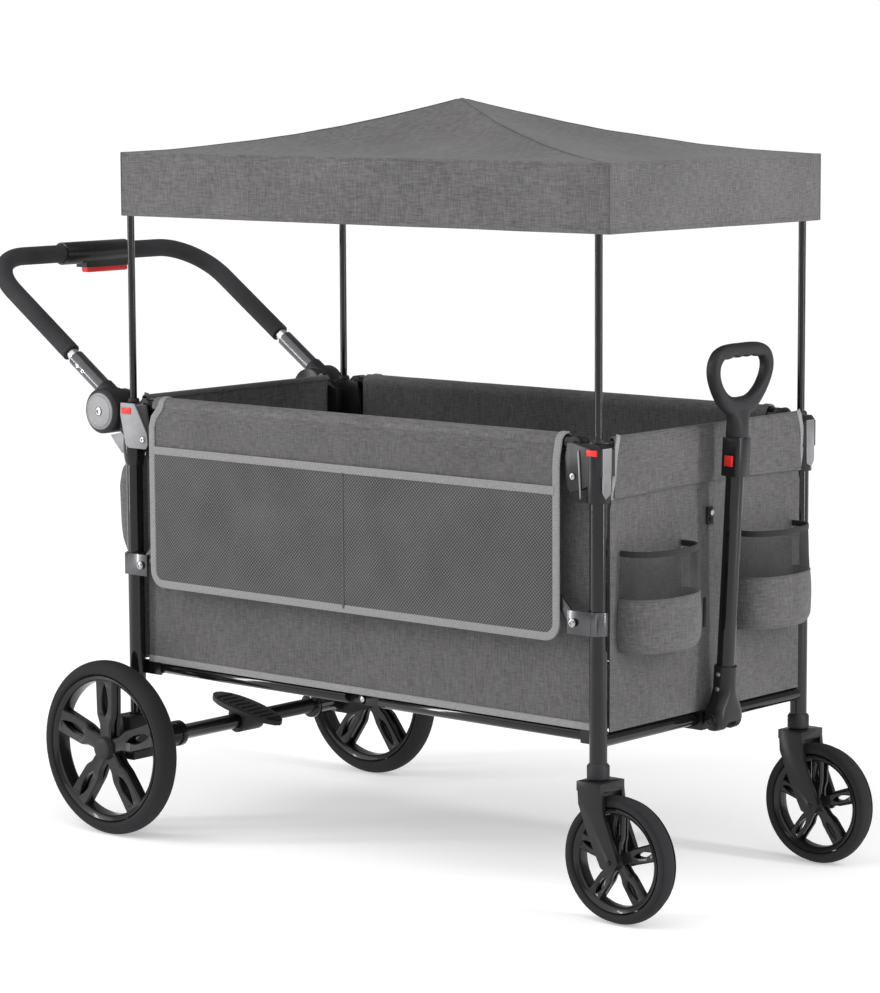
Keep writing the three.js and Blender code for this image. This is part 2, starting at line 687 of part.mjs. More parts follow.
function endPanel(sign, railZ, narrow) {
  const x0 = XP + 7;
  const low = railZ + RAIL_R + 2;
  const wide = YP - POST_R - 2;
  const sheet = (pts, a, b) => prismX(pts, sign > 0 ? a : -b, sign > 0 ? b : -a);
  const outline = [
    [-wide, low], [wide, low], [wide, BRACKET_BOTTOM - 4], [narrow, BRACKET_BOTTOM - 4],
    [narrow, TOP_Z + 2], [-narrow, TOP_Z + 2], [-narrow, BRACKET_BOTTOM - 4], [-wide, BRACKET_BOTTOM - 4],
  ];
  const body = sheet(outline, x0, x0 + CLOTH);
  const overlap = sheet([
    [-narrow, 612], [narrow, 612], [narrow, TOP_Z + 2], [-narrow, TOP_Z + 2],
  ], x0 + 1, x0 + 2 * CLOTH);
  const roll = rod('y', 6.5, -narrow, narrow, sign * (x0 + 1), TOP_Z + 2, 14);
  return [body, overlap, roll];
}

function frontEndPanel() {
  const snap = box(XP + 8, XP + 18, -7, 7, 548, 574);
  return join(...endPanel(1, RAIL_Z - 2, YP - SOCKET_R - 0.5), snap);
}

function rearEndPanel() {
  return join(...endPanel(-1, RAIL_Z - 2, YP - 33));
}

function cupHolder() {
  const outline = (inset, back) => {
    const points = [[back, CUP_Y + CUP_HALF - inset], [back, CUP_Y - CUP_HALF + inset]];
    const n = 12;
    for (let k = 0; k <= n; k += 1) {
      const a = -Math.PI / 2 + (k / n) * Math.PI;
      const bow = Math.cos(a) ** 0.7;
      points.push([
        XP + 16 + (CUP_DEPTH - 7 - inset) * bow,
        CUP_Y + (CUP_HALF - inset) * Math.sin(a),
      ]);
    }
    return points.filter(([x, y], i) => {
      return i === 0 || Math.hypot(x - points[i - 1][0], y - points[i - 1][1]) > 0.5;
    });
  };
  const slab = (pts, z0, z1) => {
    const shape = new THREE.Shape(pts.map(([x, y]) => new THREE.Vector2(x, y)));
    return new THREE.ExtrudeGeometry(shape, { depth: z1 - z0, bevelEnabled: false }).translate(0, 0, z0);
  };
  const back = XP + 7 + CLOTH + GAP;
  const outer = slab(outline(0, back), CUP_BOTTOM, CUP_TOP);
  const inner = slab(outline(CLOTH, back + CLOTH), CUP_BOTTOM + CLOTH, CUP_TOP + 5);
  return cut(outer, inner);
}

function rearBag() {
  const back = -(XP + 7 + CLOTH + GAP);
  const shell = (inset, lift) => {
    const section = (z, depth, half) => {
      const points = [];
      const n = 16;
      points.push([back - inset, half - inset, z]);
      for (let k = 0; k <= n; k += 1) {
        const a = Math.PI / 2 - (k / n) * Math.PI;
        const bow = Math.abs(Math.cos(a)) ** 0.45;
        points.push([back - 1 - inset - (depth - 2 * inset) * bow, (half - inset) * Math.sin(a), z]);
      }
      points.push([back - inset, -(half - inset), z]);
      return points;
    };
    const rings = [
      section(BAG_BOTTOM + lift, 52, BAG_HALF - 14), section(BAG_BOTTOM + 20 + lift, 66, BAG_HALF - 5),
      section((BAG_BOTTOM + BAG_TOP) / 2, 92, BAG_HALF), section(BAG_TOP - 36, 104, BAG_HALF),
      section(BAG_TOP + (lift ? 4 : 0), 100, BAG_HALF),
    ];
    return loft(rings);
  };
  return cut(shell(0, 0), shell(CLOTH, CLOTH));
}

function canopy() {
  const halfL = CANOPY_L / 2;
  const halfW = CANOPY_W / 2;
  const m = 6;
  const ring = (sx, sy, z, sag) => {
    const points = [];
    const corners = [[1, 1], [-1, 1], [-1, -1], [1, -1]];
    for (let c = 0; c < 4; c += 1) {
      const a = corners[c];
      const b = corners[(c + 1) % 4];
      for (let k = 0; k < m; k += 1) {
        const f = k / m;
        const x = (a[0] + (b[0] - a[0]) * f) * sx;
        const y = (a[1] + (b[1] - a[1]) * f) * sy;
        points.push([x + CANOPY_DX, y, z - sag * Math.sin(Math.PI * f)]);
      }
    }
    return points;
  };
  const roof = (drop, inset, flip) => {
    const rings = [];
    const levels = [0, 0.06, 0.16, 0.3, 0.46, 0.64, 0.82, 0.94];
    for (const t of levels) {
      const height = EAVE_Z + (PEAK_Z - EAVE_Z) * (0.3 * t + 0.7 * t * t) - drop;
      const sag = 9 * Math.sin(Math.PI * Math.min(t * 1.1, 1));
      rings.push(ring((halfL - inset) * (1 - t), (halfW - inset) * (1 - t), height, sag));
    }
    const apex = [[CANOPY_DX, 0, PEAK_Z - drop]];
    rings.push(rings[0].map(() => apex[0]));
    return flip ? rings.reverse() : rings;
  };
  const outer = roof(0, 0, false);
  const inner = roof(CLOTH + 0.5, CLOTH, true);
  const hem = [
    ring(halfL - CLOTH, halfW - CLOTH, VALANCE_Z, 0), ring(halfL, halfW, VALANCE_Z, 0),
  ];
  return loft([...inner, ...hem, ...outer]);
}

// ---- assembly ----
const group = new THREE.Group();
group.name = 'wagon_with_pull_handle';

const PALETTE = {
  frame: [0x17181a, 0.35, 0.6], plastic: [0x1d1e20, 0.6, 0], rubber: [0x2a2b2c, 0.9, 0],
  cloth: [0x6a6869, 0.95, 0], silver: [0x8f9092, 0.4, 0.7], red: [0xd0302c, 0.5, 0],
  foam: [0x323335, 0.95, 0], board: [0x3a3a3c, 0.9, 0],
};

function add(name, geometry, kind) {
  const [color, roughness, metalness] = PALETTE[kind];
  const material = new THREE.MeshStandardMaterial({ color, roughness, metalness });
  material.name = `${name}_material`;
  const bare = new THREE.BufferGeometry();
  const flat = geometry.index ? geometry.toNonIndexed() : geometry;
  bare.setAttribute('position', flat.getAttribute('position').clone());
  bare.computeVertexNormals();
  const mesh = new THREE.Mesh(bare, material);
  mesh.name = name;
  group.add(mesh);
}

function addPair(name, geometry, kind) {
  add(`${name}_left`, geometry, kind);
  add(`${name}_right`, mirror(geometry), kind);
}

add('rear_frame', rearFrame(), 'frame');
addPair('rear_bracket', rearBracket(), 'plastic');
add('rear_axle', rearAxle(), 'frame');
addPair('axle_housing', axleHousing(), 'plastic');
addPair('rear_clamp', clamp(-1), 'frame');
addPair('rear_pole', rod('z', POLE_R, POST_TOP + 15, VALANCE_Z + 92, -XP, YP, 14), 'frame');
add('rear_end_panel', rearEndPanel(), 'cloth');
add('rear_bag', rearBag(), 'cloth');
addPair('side_panel', sidePanel(), 'cloth');

const rearY = YP + REAR_OUT;
addPair('rear_tyre', tyre(REAR_R, REAR_R - 22.7, REAR_W).translate(-XP, rearY, REAR_R), 'rubber');
addPair('rear_rim', rim(REAR_R - 23, REAR_W, 20, 22, STUB_R + 0.25, true)
  .translate(-XP, rearY, REAR_R), 'plastic');
add('brake_pedal', brakePedal(), 'plastic');

addPair('push_hub', pushHub(), 'plastic');
addPair('push_tube', pushTube(), 'silver');
add('push_bow', pushBow(), 'silver');
add('push_foam', pushFoam(), 'foam');
add('push_housing', pushHousing(), 'plastic');
add('push_lever', pushLever(), 'red');

add('floor_rear', floorHalf(false), 'board');
add('floor_front', floorHalf(true), 'board');
addPair('top_rail_rear', railHalf(false, TOP_R, YP, TOP_Z, 0.25), 'frame');
addPair('top_rail_front', railHalf(true, TOP_R, YP, TOP_Z, 0.6), 'frame');

add('front_frame', frontFrame(), 'frame');
addPair('front_bracket', frontBracket(), 'plastic');
add('front_end_panel', frontEndPanel(), 'cloth');
addPair('cup_holder', cupHolder(), 'cloth');
addPair('front_clamp', clamp(1), 'frame');
addPair('front_pole', rod('z', POLE_R, POST_TOP + 15, VALANCE_Z + 92, XP, YP, 14), 'frame');
add('pull_bracket', pullBracket(), 'plastic');
addPair('rear_stay', stay(-1), 'frame');
addPair('front_stay', stay(1), 'frame');

addPair('caster_fork', casterFork(), 'plastic');
addPair('caster_tyre', tyre(CASTER_R, CASTER_R - 16.7, CASTER_W)
  .translate(XP + TRAIL, YP, CASTER_R), 'rubber');
addPair('caster_rim', rim(CASTER_R - 17, CASTER_W, 13, 19, 4.25, false)
  .translate(XP + TRAIL, YP, CASTER_R), 'plastic');

add('pull_foot', pullFoot(), 'plastic');
add('pull_tube', pullTube(), 'frame');
add('pull_collar', pullCollar(), 'plastic');
add('pull_grip', pullGrip(), 'plastic');
add('pull_button', pullButton(), 'red');
add('canopy', canopy(), 'cloth');

// The row frame has its origin at the middle of the outline's base.
const bounds = new THREE.Box3().setFromObject(group);
const shift = -(bounds.min.x + bounds.max.x) / 2;
for (const mesh of group.children) {
  mesh.geometry.translate(shift, 0, 0);
}

export default group;
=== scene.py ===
import math

import bmesh
import bpy
import numpy as np
from mathutils import Matrix, Vector, noise as mnoise


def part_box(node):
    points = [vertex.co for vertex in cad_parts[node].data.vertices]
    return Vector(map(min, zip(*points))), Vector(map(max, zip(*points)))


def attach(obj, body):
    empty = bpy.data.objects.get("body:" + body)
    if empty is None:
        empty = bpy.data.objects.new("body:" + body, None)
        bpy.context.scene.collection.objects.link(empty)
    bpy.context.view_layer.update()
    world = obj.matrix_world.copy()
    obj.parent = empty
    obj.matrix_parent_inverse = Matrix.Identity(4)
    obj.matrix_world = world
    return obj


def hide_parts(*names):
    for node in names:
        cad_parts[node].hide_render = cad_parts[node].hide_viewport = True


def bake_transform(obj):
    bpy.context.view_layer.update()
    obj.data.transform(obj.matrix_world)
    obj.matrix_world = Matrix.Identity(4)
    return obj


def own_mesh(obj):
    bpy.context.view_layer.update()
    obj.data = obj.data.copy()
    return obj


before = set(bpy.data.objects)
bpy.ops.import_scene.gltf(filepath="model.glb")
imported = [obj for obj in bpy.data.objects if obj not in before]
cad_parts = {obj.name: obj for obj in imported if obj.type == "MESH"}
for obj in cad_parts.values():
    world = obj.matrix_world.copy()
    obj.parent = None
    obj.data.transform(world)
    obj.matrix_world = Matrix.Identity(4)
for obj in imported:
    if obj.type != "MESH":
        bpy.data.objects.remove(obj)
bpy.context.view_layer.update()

# ---------------------------------------------------------------- sizes (millimetres, posts' frame)
axle_lo, axle_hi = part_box("rear_axle")
AXLE_X = -471.0
SHIFT = (axle_lo[0] + axle_hi[0]) / 2 - AXLE_X / 1000   # the row frame against the posts' frame
XP, YP = 471.0, 247.0
POST_R = 13.0
POST_TOP = 626.0
RAIL_Z, RAIL_R = 262.0, 10.0
TOP_Z, TOP_R = 686.0, 11.0
XV, YR = 436.0, 222.0
POLE_R = 5.75
REAR_R, REAR_W, REAR_Y = 140.0, 40.0, 310.0
CASTER_R, CASTER_W, CASTER_X = 93.0, 34.0, 511.0
CROWN = 204.7
WALL_Y = 235.4
FLAP_Y = 266.5
EAVE_Z, PEAK_Z, HEM_Z = 1082.5, 1167.5, 984.0
HALF_L, HALF_W, ROOF_X = 489.0, 255.5, 7.5
HUB = (-524.0, 672.0)
ARM = math.radians(34.8)
ARM_DIR = Vector((-math.cos(ARM), 0, math.sin(ARM)))
ARM_NORMAL = Vector((math.sin(ARM), 0, math.cos(ARM)))
ARM_Y, ARM_LEN, ARM_LIFT, BOW_R = 244.0, 378.0, 19.0, 88.0
LEAN = math.radians(3)
PULL = (510.0, 264.0)


def mm(p):
    """A point in millimetres in the posts' frame, in metres in the row frame."""
    return (p[0] / 1000 + SHIFT, p[1] / 1000, p[2] / 1000)


# ---------------------------------------------------------------- materials
def new_material(name, base, rough, metal=0.0, coat=0.0, sheen=0.0, spec=0.5):
    m = bpy.data.materials.new(name)
    m.use_nodes = True
    nt = m.node_tree
    b = nt.nodes["Principled BSDF"]
    set_inputs(b, Base_Color=(*base, 1), Roughness=rough, Metallic=metal, Coat_Weight=coat,
               Coat_Roughness=0.06, Sheen_Weight=sheen, Sheen_Roughness=0.5, Specular_IOR_Level=spec)
    return m, nt, b


def set_inputs(n, **values):
    for key, value in values.items():
        n.inputs[key.replace("_", " ")].default_value = value
    return n


def new_node(nt, kind, **values):
    return set_inputs(nt.nodes.new("ShaderNode" + kind), **values)


def mapped(nt, scale, turn=0.0):
    """Object coordinates, scaled per axis and turned about Y."""
    coords = new_node(nt, "TexCoord")
    mapping = new_node(nt, "Mapping", Rotation=(0, math.radians(turn), 0), Scale=scale)
    nt.links.new(coords.outputs["Object"], mapping.inputs["Vector"])
    return mapping.outputs["Vector"]


def field(nt, scale, detail=3.0):
    """A noise value in object space; unequal scales give streaks."""
    noise = new_node(nt, "TexNoise", Detail=detail, Scale=1.0)
    nt.links.new(mapped(nt, scale), noise.inputs["Vector"])
    return noise.outputs["Fac"]


def wave(nt, direction, scale):
    w = new_node(nt, "TexWave", Scale=scale)
    w.bands_direction = direction
    nt.links.new(mapped(nt, (1, 1, 1)), w.inputs["Vector"])
    return w.outputs["Fac"]


def math_node(nt, op, a, b):
    n = new_node(nt, "Math")
    n.operation = op
    for i, v in enumerate((a, b)):
        if isinstance(v, (int, float)):
            n.inputs[i].default_value = v
        else:
            nt.links.new(v, n.inputs[i])
    return n.outputs[0]


def colour_between(nt, value, low, high, lo=0.3, hi=0.7):
    ramp = new_node(nt, "ValToRGB")
    for element, place, colour in zip(ramp.color_ramp.elements, (lo, hi), (low, high)):
        element.position, element.color = place, (*colour, 1)
    nt.links.new(value, ramp.inputs["Fac"])
    return ramp.outputs["Color"]


def bump(nt, b, value, strength, distance):
    n = new_node(nt, "Bump", Strength=strength, Distance=distance)
    nt.links.new(value, n.inputs["Height"])
    nt.links.new(n.outputs["Normal"], b.inputs["Normal"])


def rough_from(nt, b, value, low, high):
    r = new_node(nt, "MapRange", To_Min=low, To_Max=high)
    nt.links.new(value, r.inputs["Value"])
    nt.links.new(r.outputs["Result"], b.inputs["Roughness"])


def times(c, k):
    return tuple(min(x * k, 1.0) for x in c)


def linen(name, base, flat=False):
    """Heathered linen-look polyester: crossing slubs, a fine weave and slow tone changes."""
    m, nt, b = new_material(name, base, 0.92, sheen=0.12, spec=0.25)
    if flat:
        across, along = field(nt, (60, 620, 60), 4), field(nt, (620, 60, 60), 4)
    else:
        across, along = field(nt, (60, 60, 620), 4), field(nt, (620, 620, 60), 4)
    slow = field(nt, (7, 7, 9), 2)
    both = math_node(nt, "MULTIPLY", math_node(nt, "ADD", across, along), 0.42)
    value = math_node(nt, "ADD", both, math_node(nt, "MULTIPLY", slow, 0.16))
    nt.links.new(colour_between(nt, value, times(base, 0.6), times(base, 1.5), 0.36, 0.64),
                 b.inputs["Base Color"])
    weave = math_node(nt, "MAXIMUM", wave(nt, "Z", 420), wave(nt, "X", 420))
    height = math_node(nt, "ADD", value, math_node(nt, "MULTIPLY", weave, 0.25))
    bump(nt, b, height, 0.35, 0.0008)
    rough_from(nt, b, value, 0.82, 1.0)
    return m


def webbing(name, base):
    """Woven binding tape."""
    m, nt, b = new_material(name, base, 0.85, sheen=0.1, spec=0.3)
    ribs = math_node(nt, "MULTIPLY", wave(nt, "X", 150), wave(nt, "Z", 150))
    grain = field(nt, (500, 500, 500), 3)
    value = math_node(nt, "ADD", math_node(nt, "MULTIPLY", ribs, 0.35),
                      math_node(nt, "MULTIPLY", grain, 0.65))
    nt.links.new(colour_between(nt, value, times(base, 0.72), times(base, 1.25), 0.25, 0.7),
                 b.inputs["Base Color"])
    bump(nt, b, value, 0.4, 0.0006)
    rough_from(nt, b, grain, 0.75, 0.95)
    return m


def netting(name, thread, behind):
    """Pocket net: small round holes in staggered rows, the backing cloth seen through them."""
    m, nt, b = new_material(name, thread, 0.75, spec=0.4)
    v = new_node(nt, "TexVoronoi", Scale=250, Randomness=0.0)
    nt.links.new(mapped(nt, (1, 0, 1), 45), v.inputs["Vector"])
    hole = v.outputs["Distance"]
    tone = field(nt, (14, 14, 14), 2)
    seen = math_node(nt, "ADD", hole, math_node(nt, "MULTIPLY", tone, 0.10))
    nt.links.new(colour_between(nt, seen, behind, thread, 0.36, 0.5), b.inputs["Base Color"])
    bump(nt, b, hole, 0.6, 0.0008)
    rough_from(nt, b, tone, 0.6, 0.9)
    return m


def surface(name, base, rough, grain, patch, tones, shine, **look):
    """A hard or rubbery skin: a fine grain as (scale, detail, strength, height) in the bump, and larger
    patches as (scale, detail) that shift its tone and its shine between the given shares."""
    m, nt, b = new_material(name, base, rough, **look)
    fine, slow = (field(nt, (scale,) * 3, detail) for scale, detail in (grain[:2], patch))
    tone = colour_between(nt, slow, times(base, tones[0]), times(base, tones[1]))
    nt.links.new(tone, b.inputs["Base Color"])
    rough_from(nt, b, slow, rough * shine[0], min(rough * shine[1], 1))
    bump(nt, b, fine, grain[2], grain[3])
    return m


def coated(name, base, rough=0.26, coat=0.5, grain=900.0, depth=0.04, metal=0.0, spec=0.2):
    """Powder coat or paint: a faint orange peel, with slightly duller patches."""
    return surface(name, base, rough, (grain, 2, depth, 0.0003), (22, 3), (0.8, 1.3), (0.75, 1.35),
                   metal=metal, coat=coat, spec=spec)


def moulded(name, base, rough=0.5, grain=1400.0, depth=0.18):
    """Injection-moulded plastic with a fine spark-eroded grain and rubbed, shinier patches."""
    return surface(name, base, rough, (grain, 3, depth, 0.0004), (18, 3), (0.78, 1.35), (0.8, 1.25),
                   spec=0.28)


def rubber(name, base, scale=700.0, depth=0.3, rough=0.85):
    return surface(name, base, rough, (scale, 4, depth, 0.0008), (9, 4), (0.75, 1.4), (0.85, 1.15),
                   spec=0.25)


CLOTH = (0.0915, 0.0882, 0.09)
M = {
    "cloth": linen("linen_grey", CLOTH),
    # The canopy's roof and valance are lighter copies of the wall cloth; the upward-facing roof is painted a
    # little lighter than the valance, painted top light.
    "roof": linen("linen_roof_painted_top_light", times(CLOTH, 1.22), flat=True),
    "roof_side": linen("linen_valance", times(CLOTH, 1.17)),
    # painted highlight: a lighter copy of the cloth for the roll over the top rail, standing for the light
    # its top catches
    "cloth_lit": linen("linen_roll_painted_highlight", times(CLOTH, 1.18)),
    "tape": webbing("binding_grey", (0.25, 0.245, 0.248)),
    "tape_dark": webbing("binding_dark", (0.085, 0.083, 0.085)),
    "elastic": webbing("elastic_black", (0.02, 0.02, 0.021)),
    "net": netting("net_grey", (0.026, 0.025, 0.027), (0.112, 0.109, 0.111)),
    "net_thread": moulded("net_thread", (0.05, 0.05, 0.052), 0.7),
    "coat": coated("powder_black", (0.006, 0.006, 0.0066), 0.12, 0.35),
    "plastic": moulded("plastic_black", (0.014, 0.014, 0.0155)),
    "satin": moulded("plastic_satin", (0.010, 0.010, 0.0112), 0.28, 1600.0, 0.05),
    "rim": coated("rim_black", (0.010, 0.010, 0.011), 0.24, 0.3, 1100.0, 0.05),
    "tyre": rubber("tyre_rubber", (0.016, 0.016, 0.0172)),
    "foam": rubber("foam_dark", (0.031, 0.031, 0.033), 480.0, 0.5, 0.95),
    "metal": coated("metal_satin", (0.55, 0.55, 0.56), 0.24, 0.1, 1200.0, 0.012, 1.0, 0.5),
    "dark_metal": coated("metal_dark", (0.075, 0.075, 0.079), 0.24, 0.3, 1200.0, 0.012, 0.85, 0.5),
    "plate": moulded("plate_grey", (0.235, 0.235, 0.24), 0.42, 1500.0, 0.1),
    "plate_dark": moulded("plate_satin", (0.17, 0.17, 0.174), 0.36, 1500.0, 0.08),
    "red": moulded("red_button", (0.62, 0.022, 0.02), 0.35, 1200.0, 0.08),
    "bolt": coated("bolt_steel", (0.42, 0.42, 0.43), 0.25, 0.0, 900.0, 0.05, 1.0, 0.5),
    "board": linen("floor_cloth", times(CLOTH, 0.8), flat=True),
}


# ---------------------------------------------------------------- mesh making
class Part:
    """Gathers shapes in millimetres into one mesh; each shape has its own material."""

    def __init__(self):
        self.verts, self.faces, self.mats, self.slots = [], [], [], []

    def slot_of(self, key):
        if key not in self.slots:
            self.slots.append(key)
        return self.slots.index(key)

    def put(self, verts, faces, key):
        base = len(self.verts)
        self.verts += [tuple(v) for v in verts]
        self.faces += [tuple(i + base for i in f) for f in faces]
        self.mats += [self.slot_of(key)] * len(faces)
        return self

    def make(self, name, body, replaces=(), slot=None, bevel=0.0, angle=38, sharp=42, solid=0.0):
        me = bpy.data.meshes.new(name)
        me.from_pydata([mm(v) for v in self.verts], [], self.faces)
        me.validate()
        for key in self.slots:
            me.materials.append(M[key])
        me.polygons.foreach_set("material_index", self.mats[:len(me.polygons)])
        bm = bmesh.new()
        bm.from_mesh(me)
        bmesh.ops.remove_doubles(bm, verts=bm.verts, dist=1e-6)
        bmesh.ops.recalc_face_normals(bm, faces=bm.faces)
        if bevel:
            round_edges(bm, bevel, angle)
        bm.to_mesh(me)
        bm.free()
        return piece(name, me, body, replaces, sharp, solid)


def linked(name, data):
    o = bpy.data.objects.new(name, data)
    bpy.context.collection.objects.link(o)
    return o


def piece(name, me, body, replaces, sharp, solid=0.0):
    """One piece of the model from its mesh: its thickness, shading, body and nodes."""
    o = linked(name, me)
    if solid:
        s = o.modifiers.new("thick", "SOLIDIFY")
        s.thickness = solid / 1000
        s.offset = 0
        apply_modifiers(o)
    smooth(o, sharp)
    if body:
        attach(o, body)
    if replaces:
        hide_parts(*replaces)
    return o


def round_edges(bm, bevel, angle):
    edges = [e for e in bm.edges if len(e.link_faces) == 2 and e.calc_face_angle(0) > math.radians(angle)]
    bmesh.ops.bevel(bm, geom=edges, offset=bevel / 1000, segments=2, profile=0.5, affect="EDGES",
                    clamp_overlap=True)


def apply_modifiers(o):
    dg = bpy.context.evaluated_depsgraph_get()
    me = bpy.data.meshes.new_from_object(o.evaluated_get(dg))
    old = o.data
    o.modifiers.clear()
    o.data = me
    bpy.data.meshes.remove(old)


def smooth(o, sharp=42):
    o.data.shade_smooth()
    o.data.set_sharp_from_angle(angle=math.radians(sharp))


def refined(node, name, key, body, slot, bevel):
    """The CAD solid's own shape with rounded edges and smooth curved faces."""
    bm = bmesh.new()
    bm.from_mesh(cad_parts[node].data)
    bmesh.ops.remove_doubles(bm, verts=bm.verts, dist=2e-5)
    bmesh.ops.dissolve_limit(bm, angle_limit=math.radians(1.0), verts=bm.verts, edges=bm.edges)
    round_edges(bm, bevel, 40)
    me = bpy.data.meshes.new(name)
    bm.to_mesh(me)
    bm.free()
    me.materials.clear()
    me.materials.append(M[key])
    me.polygons.foreach_set("material_index", [0] * len(me.polygons))
    return piece(name, me, body, [node], 35)


def ring_faces(rows, n, closed=False):
    """The faces between rows of n points each; a closed stack joins its last row to its first."""
    faces = []
    for r in range(rows if closed else rows - 1):
        for c in range(n):
            a, b, s = r * n + c, r * n + (c + 1) % n, (r + 1) % rows
            faces.append((a, b, s * n + (c + 1) % n, s * n + c))
    return faces


def end_faces(rows, n):
    return [tuple(range(n)), tuple((rows - 1) * n + k for k in range(n))]


def turns(n):
    """The cosine and sine of n even steps round a circle."""
    return [(math.cos(2 * math.pi * k / n), math.sin(2 * math.pi * k / n)) for k in range(n)]


def tube(path, r, n=28, bore=0.0):
    """A round bar or hollow tube along a path."""
    pts = [Vector(p) for p in path]
    rows = []
    prev = None
    for i, p in enumerate(pts):
        t = (pts[min(i + 1, len(pts) - 1)] - pts[max(i - 1, 0)]).normalized()
        if prev is None:
            ref = Vector((0, 0, 1)) if abs(t.z) < 0.9 else Vector((1, 0, 0))
            side = t.cross(ref).normalized()
        else:
            side = (prev - t * prev.dot(t)).normalized()
        prev = side
        up = t.cross(side)
        rows.append((p, side, up))

    def skin(q):
        return [p + side * (q * c) + up * (q * s) for p, side, up in rows for c, s in turns(n)]
    verts, faces = skin(r), ring_faces(len(rows), n)
    if not bore:
        return verts, faces + end_faces(len(rows), n)
    m = len(verts)
    verts += skin(bore)
    faces += [tuple(i + m for i in f)[::-1] for f in ring_faces(len(rows), n)]
    for base in (0, (len(rows) - 1) * n):
        for k in range(n):
            j = (k + 1) % n
            faces.append((base + k, base + j, m + base + j, m + base + k))
    return verts, faces


def rod(axis, r, a, b, p, q, n=28, bore=0.0):
    ends = {"x": ((a, p, q), (b, p, q)), "y": ((p, a, q), (p, b, q)), "z": ((p, q, a), (p, q, b))}
    return tube(ends[axis], r, n, bore)


def lathe(profile, n, centre, axis="y", closed=False):
    """Turns (radius, height) about an axis; height runs along it."""
    verts = []
    for r, h in profile:
        for c, s in turns(n):
            p = (r * c, h, r * s) if axis == "y" else (r * c, r * s, h)
            verts.append(tuple(a + b for a, b in zip(p, centre)))
    faces = ring_faces(len(profile), n, closed)
    if not closed:
        ends = zip(end_faces(len(profile), n), (profile[0], profile[-1]))
        faces += [face for face, (r, _) in ends if r > 0.01]
    return verts, faces


def prism(points, a, b, plane="xz"):
    """A polygon drawn in a plane, pulled from a to b along the remaining axis."""
    order = {"xz": (0, 2, 1), "yz": (2, 0, 1), "xy": (0, 1, 2)}[plane]
    n = len(points)
    verts = [tuple((*p, d)[i] for i in order) for d in (a, b) for p in points]
    faces = [tuple(range(n)), tuple(range(2 * n - 1, n - 1, -1))]
    faces += [(i, (i + 1) % n, n + (i + 1) % n, n + i) for i in range(n)]
    return verts, faces


def block(x0, x1, y0, y1, z0, z1):
    return prism([(x0, y0), (x1, y0), (x1, y1), (x0, y1)], z0, z1, "xy")


def grid(us, vs, fn, keep=None):
    """A sheet: fn(u, v) gives its points; keep drops cells."""
    verts = [fn(u, v) for v in vs for u in us]
    n = len(us)
    faces = []
    for j in range(len(vs) - 1):
        for i in range(n - 1):
            um, vm = (us[i] + us[i + 1]) / 2, (vs[j] + vs[j + 1]) / 2
            if keep is None or keep(um, vm):
                faces.append((j * n + i, j * n + i + 1, (j + 1) * n + i + 1, (j + 1) * n + i))
    return verts, faces


def ribbon(path, width, thick, normals):
    """A tape of rounded section along a path; normals face out of the cloth it is sewn to."""
    pts = [Vector(p) for p in path]
    section = []
    for k in range(12):
        a = 2 * math.pi * (k + 0.5) / 12
        c, s = math.cos(a), math.sin(a)
        section.append((width / 2 * math.copysign(abs(c) ** 0.4, c),
                        thick / 2 * math.copysign(abs(s) ** 0.5, s)))
    verts = []
    for i, p in enumerate(pts):
        t = (pts[min(i + 1, len(pts) - 1)] - pts[max(i - 1, 0)]).normalized()
        up = Vector(normals[i] if isinstance(normals, list) else normals)
        side = t.cross(up).normalized()
        up = side.cross(t).normalized()
        verts += [p + side * a + up * b for a, b in section]
    return verts, ring_faces(len(pts), 12) + end_faces(len(pts), 12)


def on_side(shape, s):
    """A shape drawn for the left side, mirrored in y for the right."""
    verts, faces = shape
    return shape if s > 0 else ([(x, -y, z) for x, y, z in verts], [tuple(f)[::-1] for f in faces])


def side_piece(name, body, slot, s, *shapes, **look):
    """Small parts drawn for the left side, made on the side s; each is a shape and its material."""
    part = Part()
    for shape, key in shapes:
        part.put(*on_side(shape, s), key)
    return part.make(name, body, (), slot, **look)


def linspace(a, b, n):
    return [a + (b - a) * i / (n - 1) for i in range(n)]


def wobble(x, z, seed=0.0, size=90.0):
    """A small, slow random value between about -1 and 1."""
    return mnoise.noise(Vector((x / size + seed * 7.3, z / size - seed * 3.1, seed)))


def cloth_piece(name, body, us, vs, point, key="cloth", node=(), solid=1.6, keep=None):
    """One sheet over a grid of places, as thick as the cloth."""
    part = Part().put(*grid(us, vs, point, keep), key)
    return part.make(name, body, node, "cloth", solid=solid, sharp=70)


SIDES = (("left", 1), ("right", -1))


# ---------------------------------------------------------------- frame tubes
def end_frame(name, x, z_low, body, node):
    part = Part()
    for s in (1, -1):
        part.put(*rod("z", POST_R, z_low, POST_TOP, x, s * YP, 40), "coat")
        inward = math.copysign(XV, x)
        part.put(*on_side(block(min(x, inward) - 6, max(x, inward) + 6, 232.2, 236.5,
                                RAIL_Z - 11, RAIL_Z + 11), s), "coat")
        part.put(*on_side(rod("y", 5.5, 208, 211.6, inward, RAIL_Z, 20), s), "bolt")
        part.put(*on_side(rod("y", 4, 209, 234, inward, RAIL_Z, 16), s), "bolt")
        if node == "front_frame":
            part.put(*lathe([(13.2, CROWN + 24), (16.5, CROWN + 20), (16.5, CROWN + 2),
                             (13, CROWN + 0.5)], 36, (x, s * YP, 0), "z"), "plastic")
    part.put(*rod("y", RAIL_R, -YP, YP, x, RAIL_Z - 2, 36), "coat")
    return part.make(name, body, [node], "powder_coat")


end_frame("rear_frame_tubes", -XP, 166, "rear", "rear_frame")
end_frame("front_frame_tubes", XP, CROWN + 0.4, "front", "front_frame")

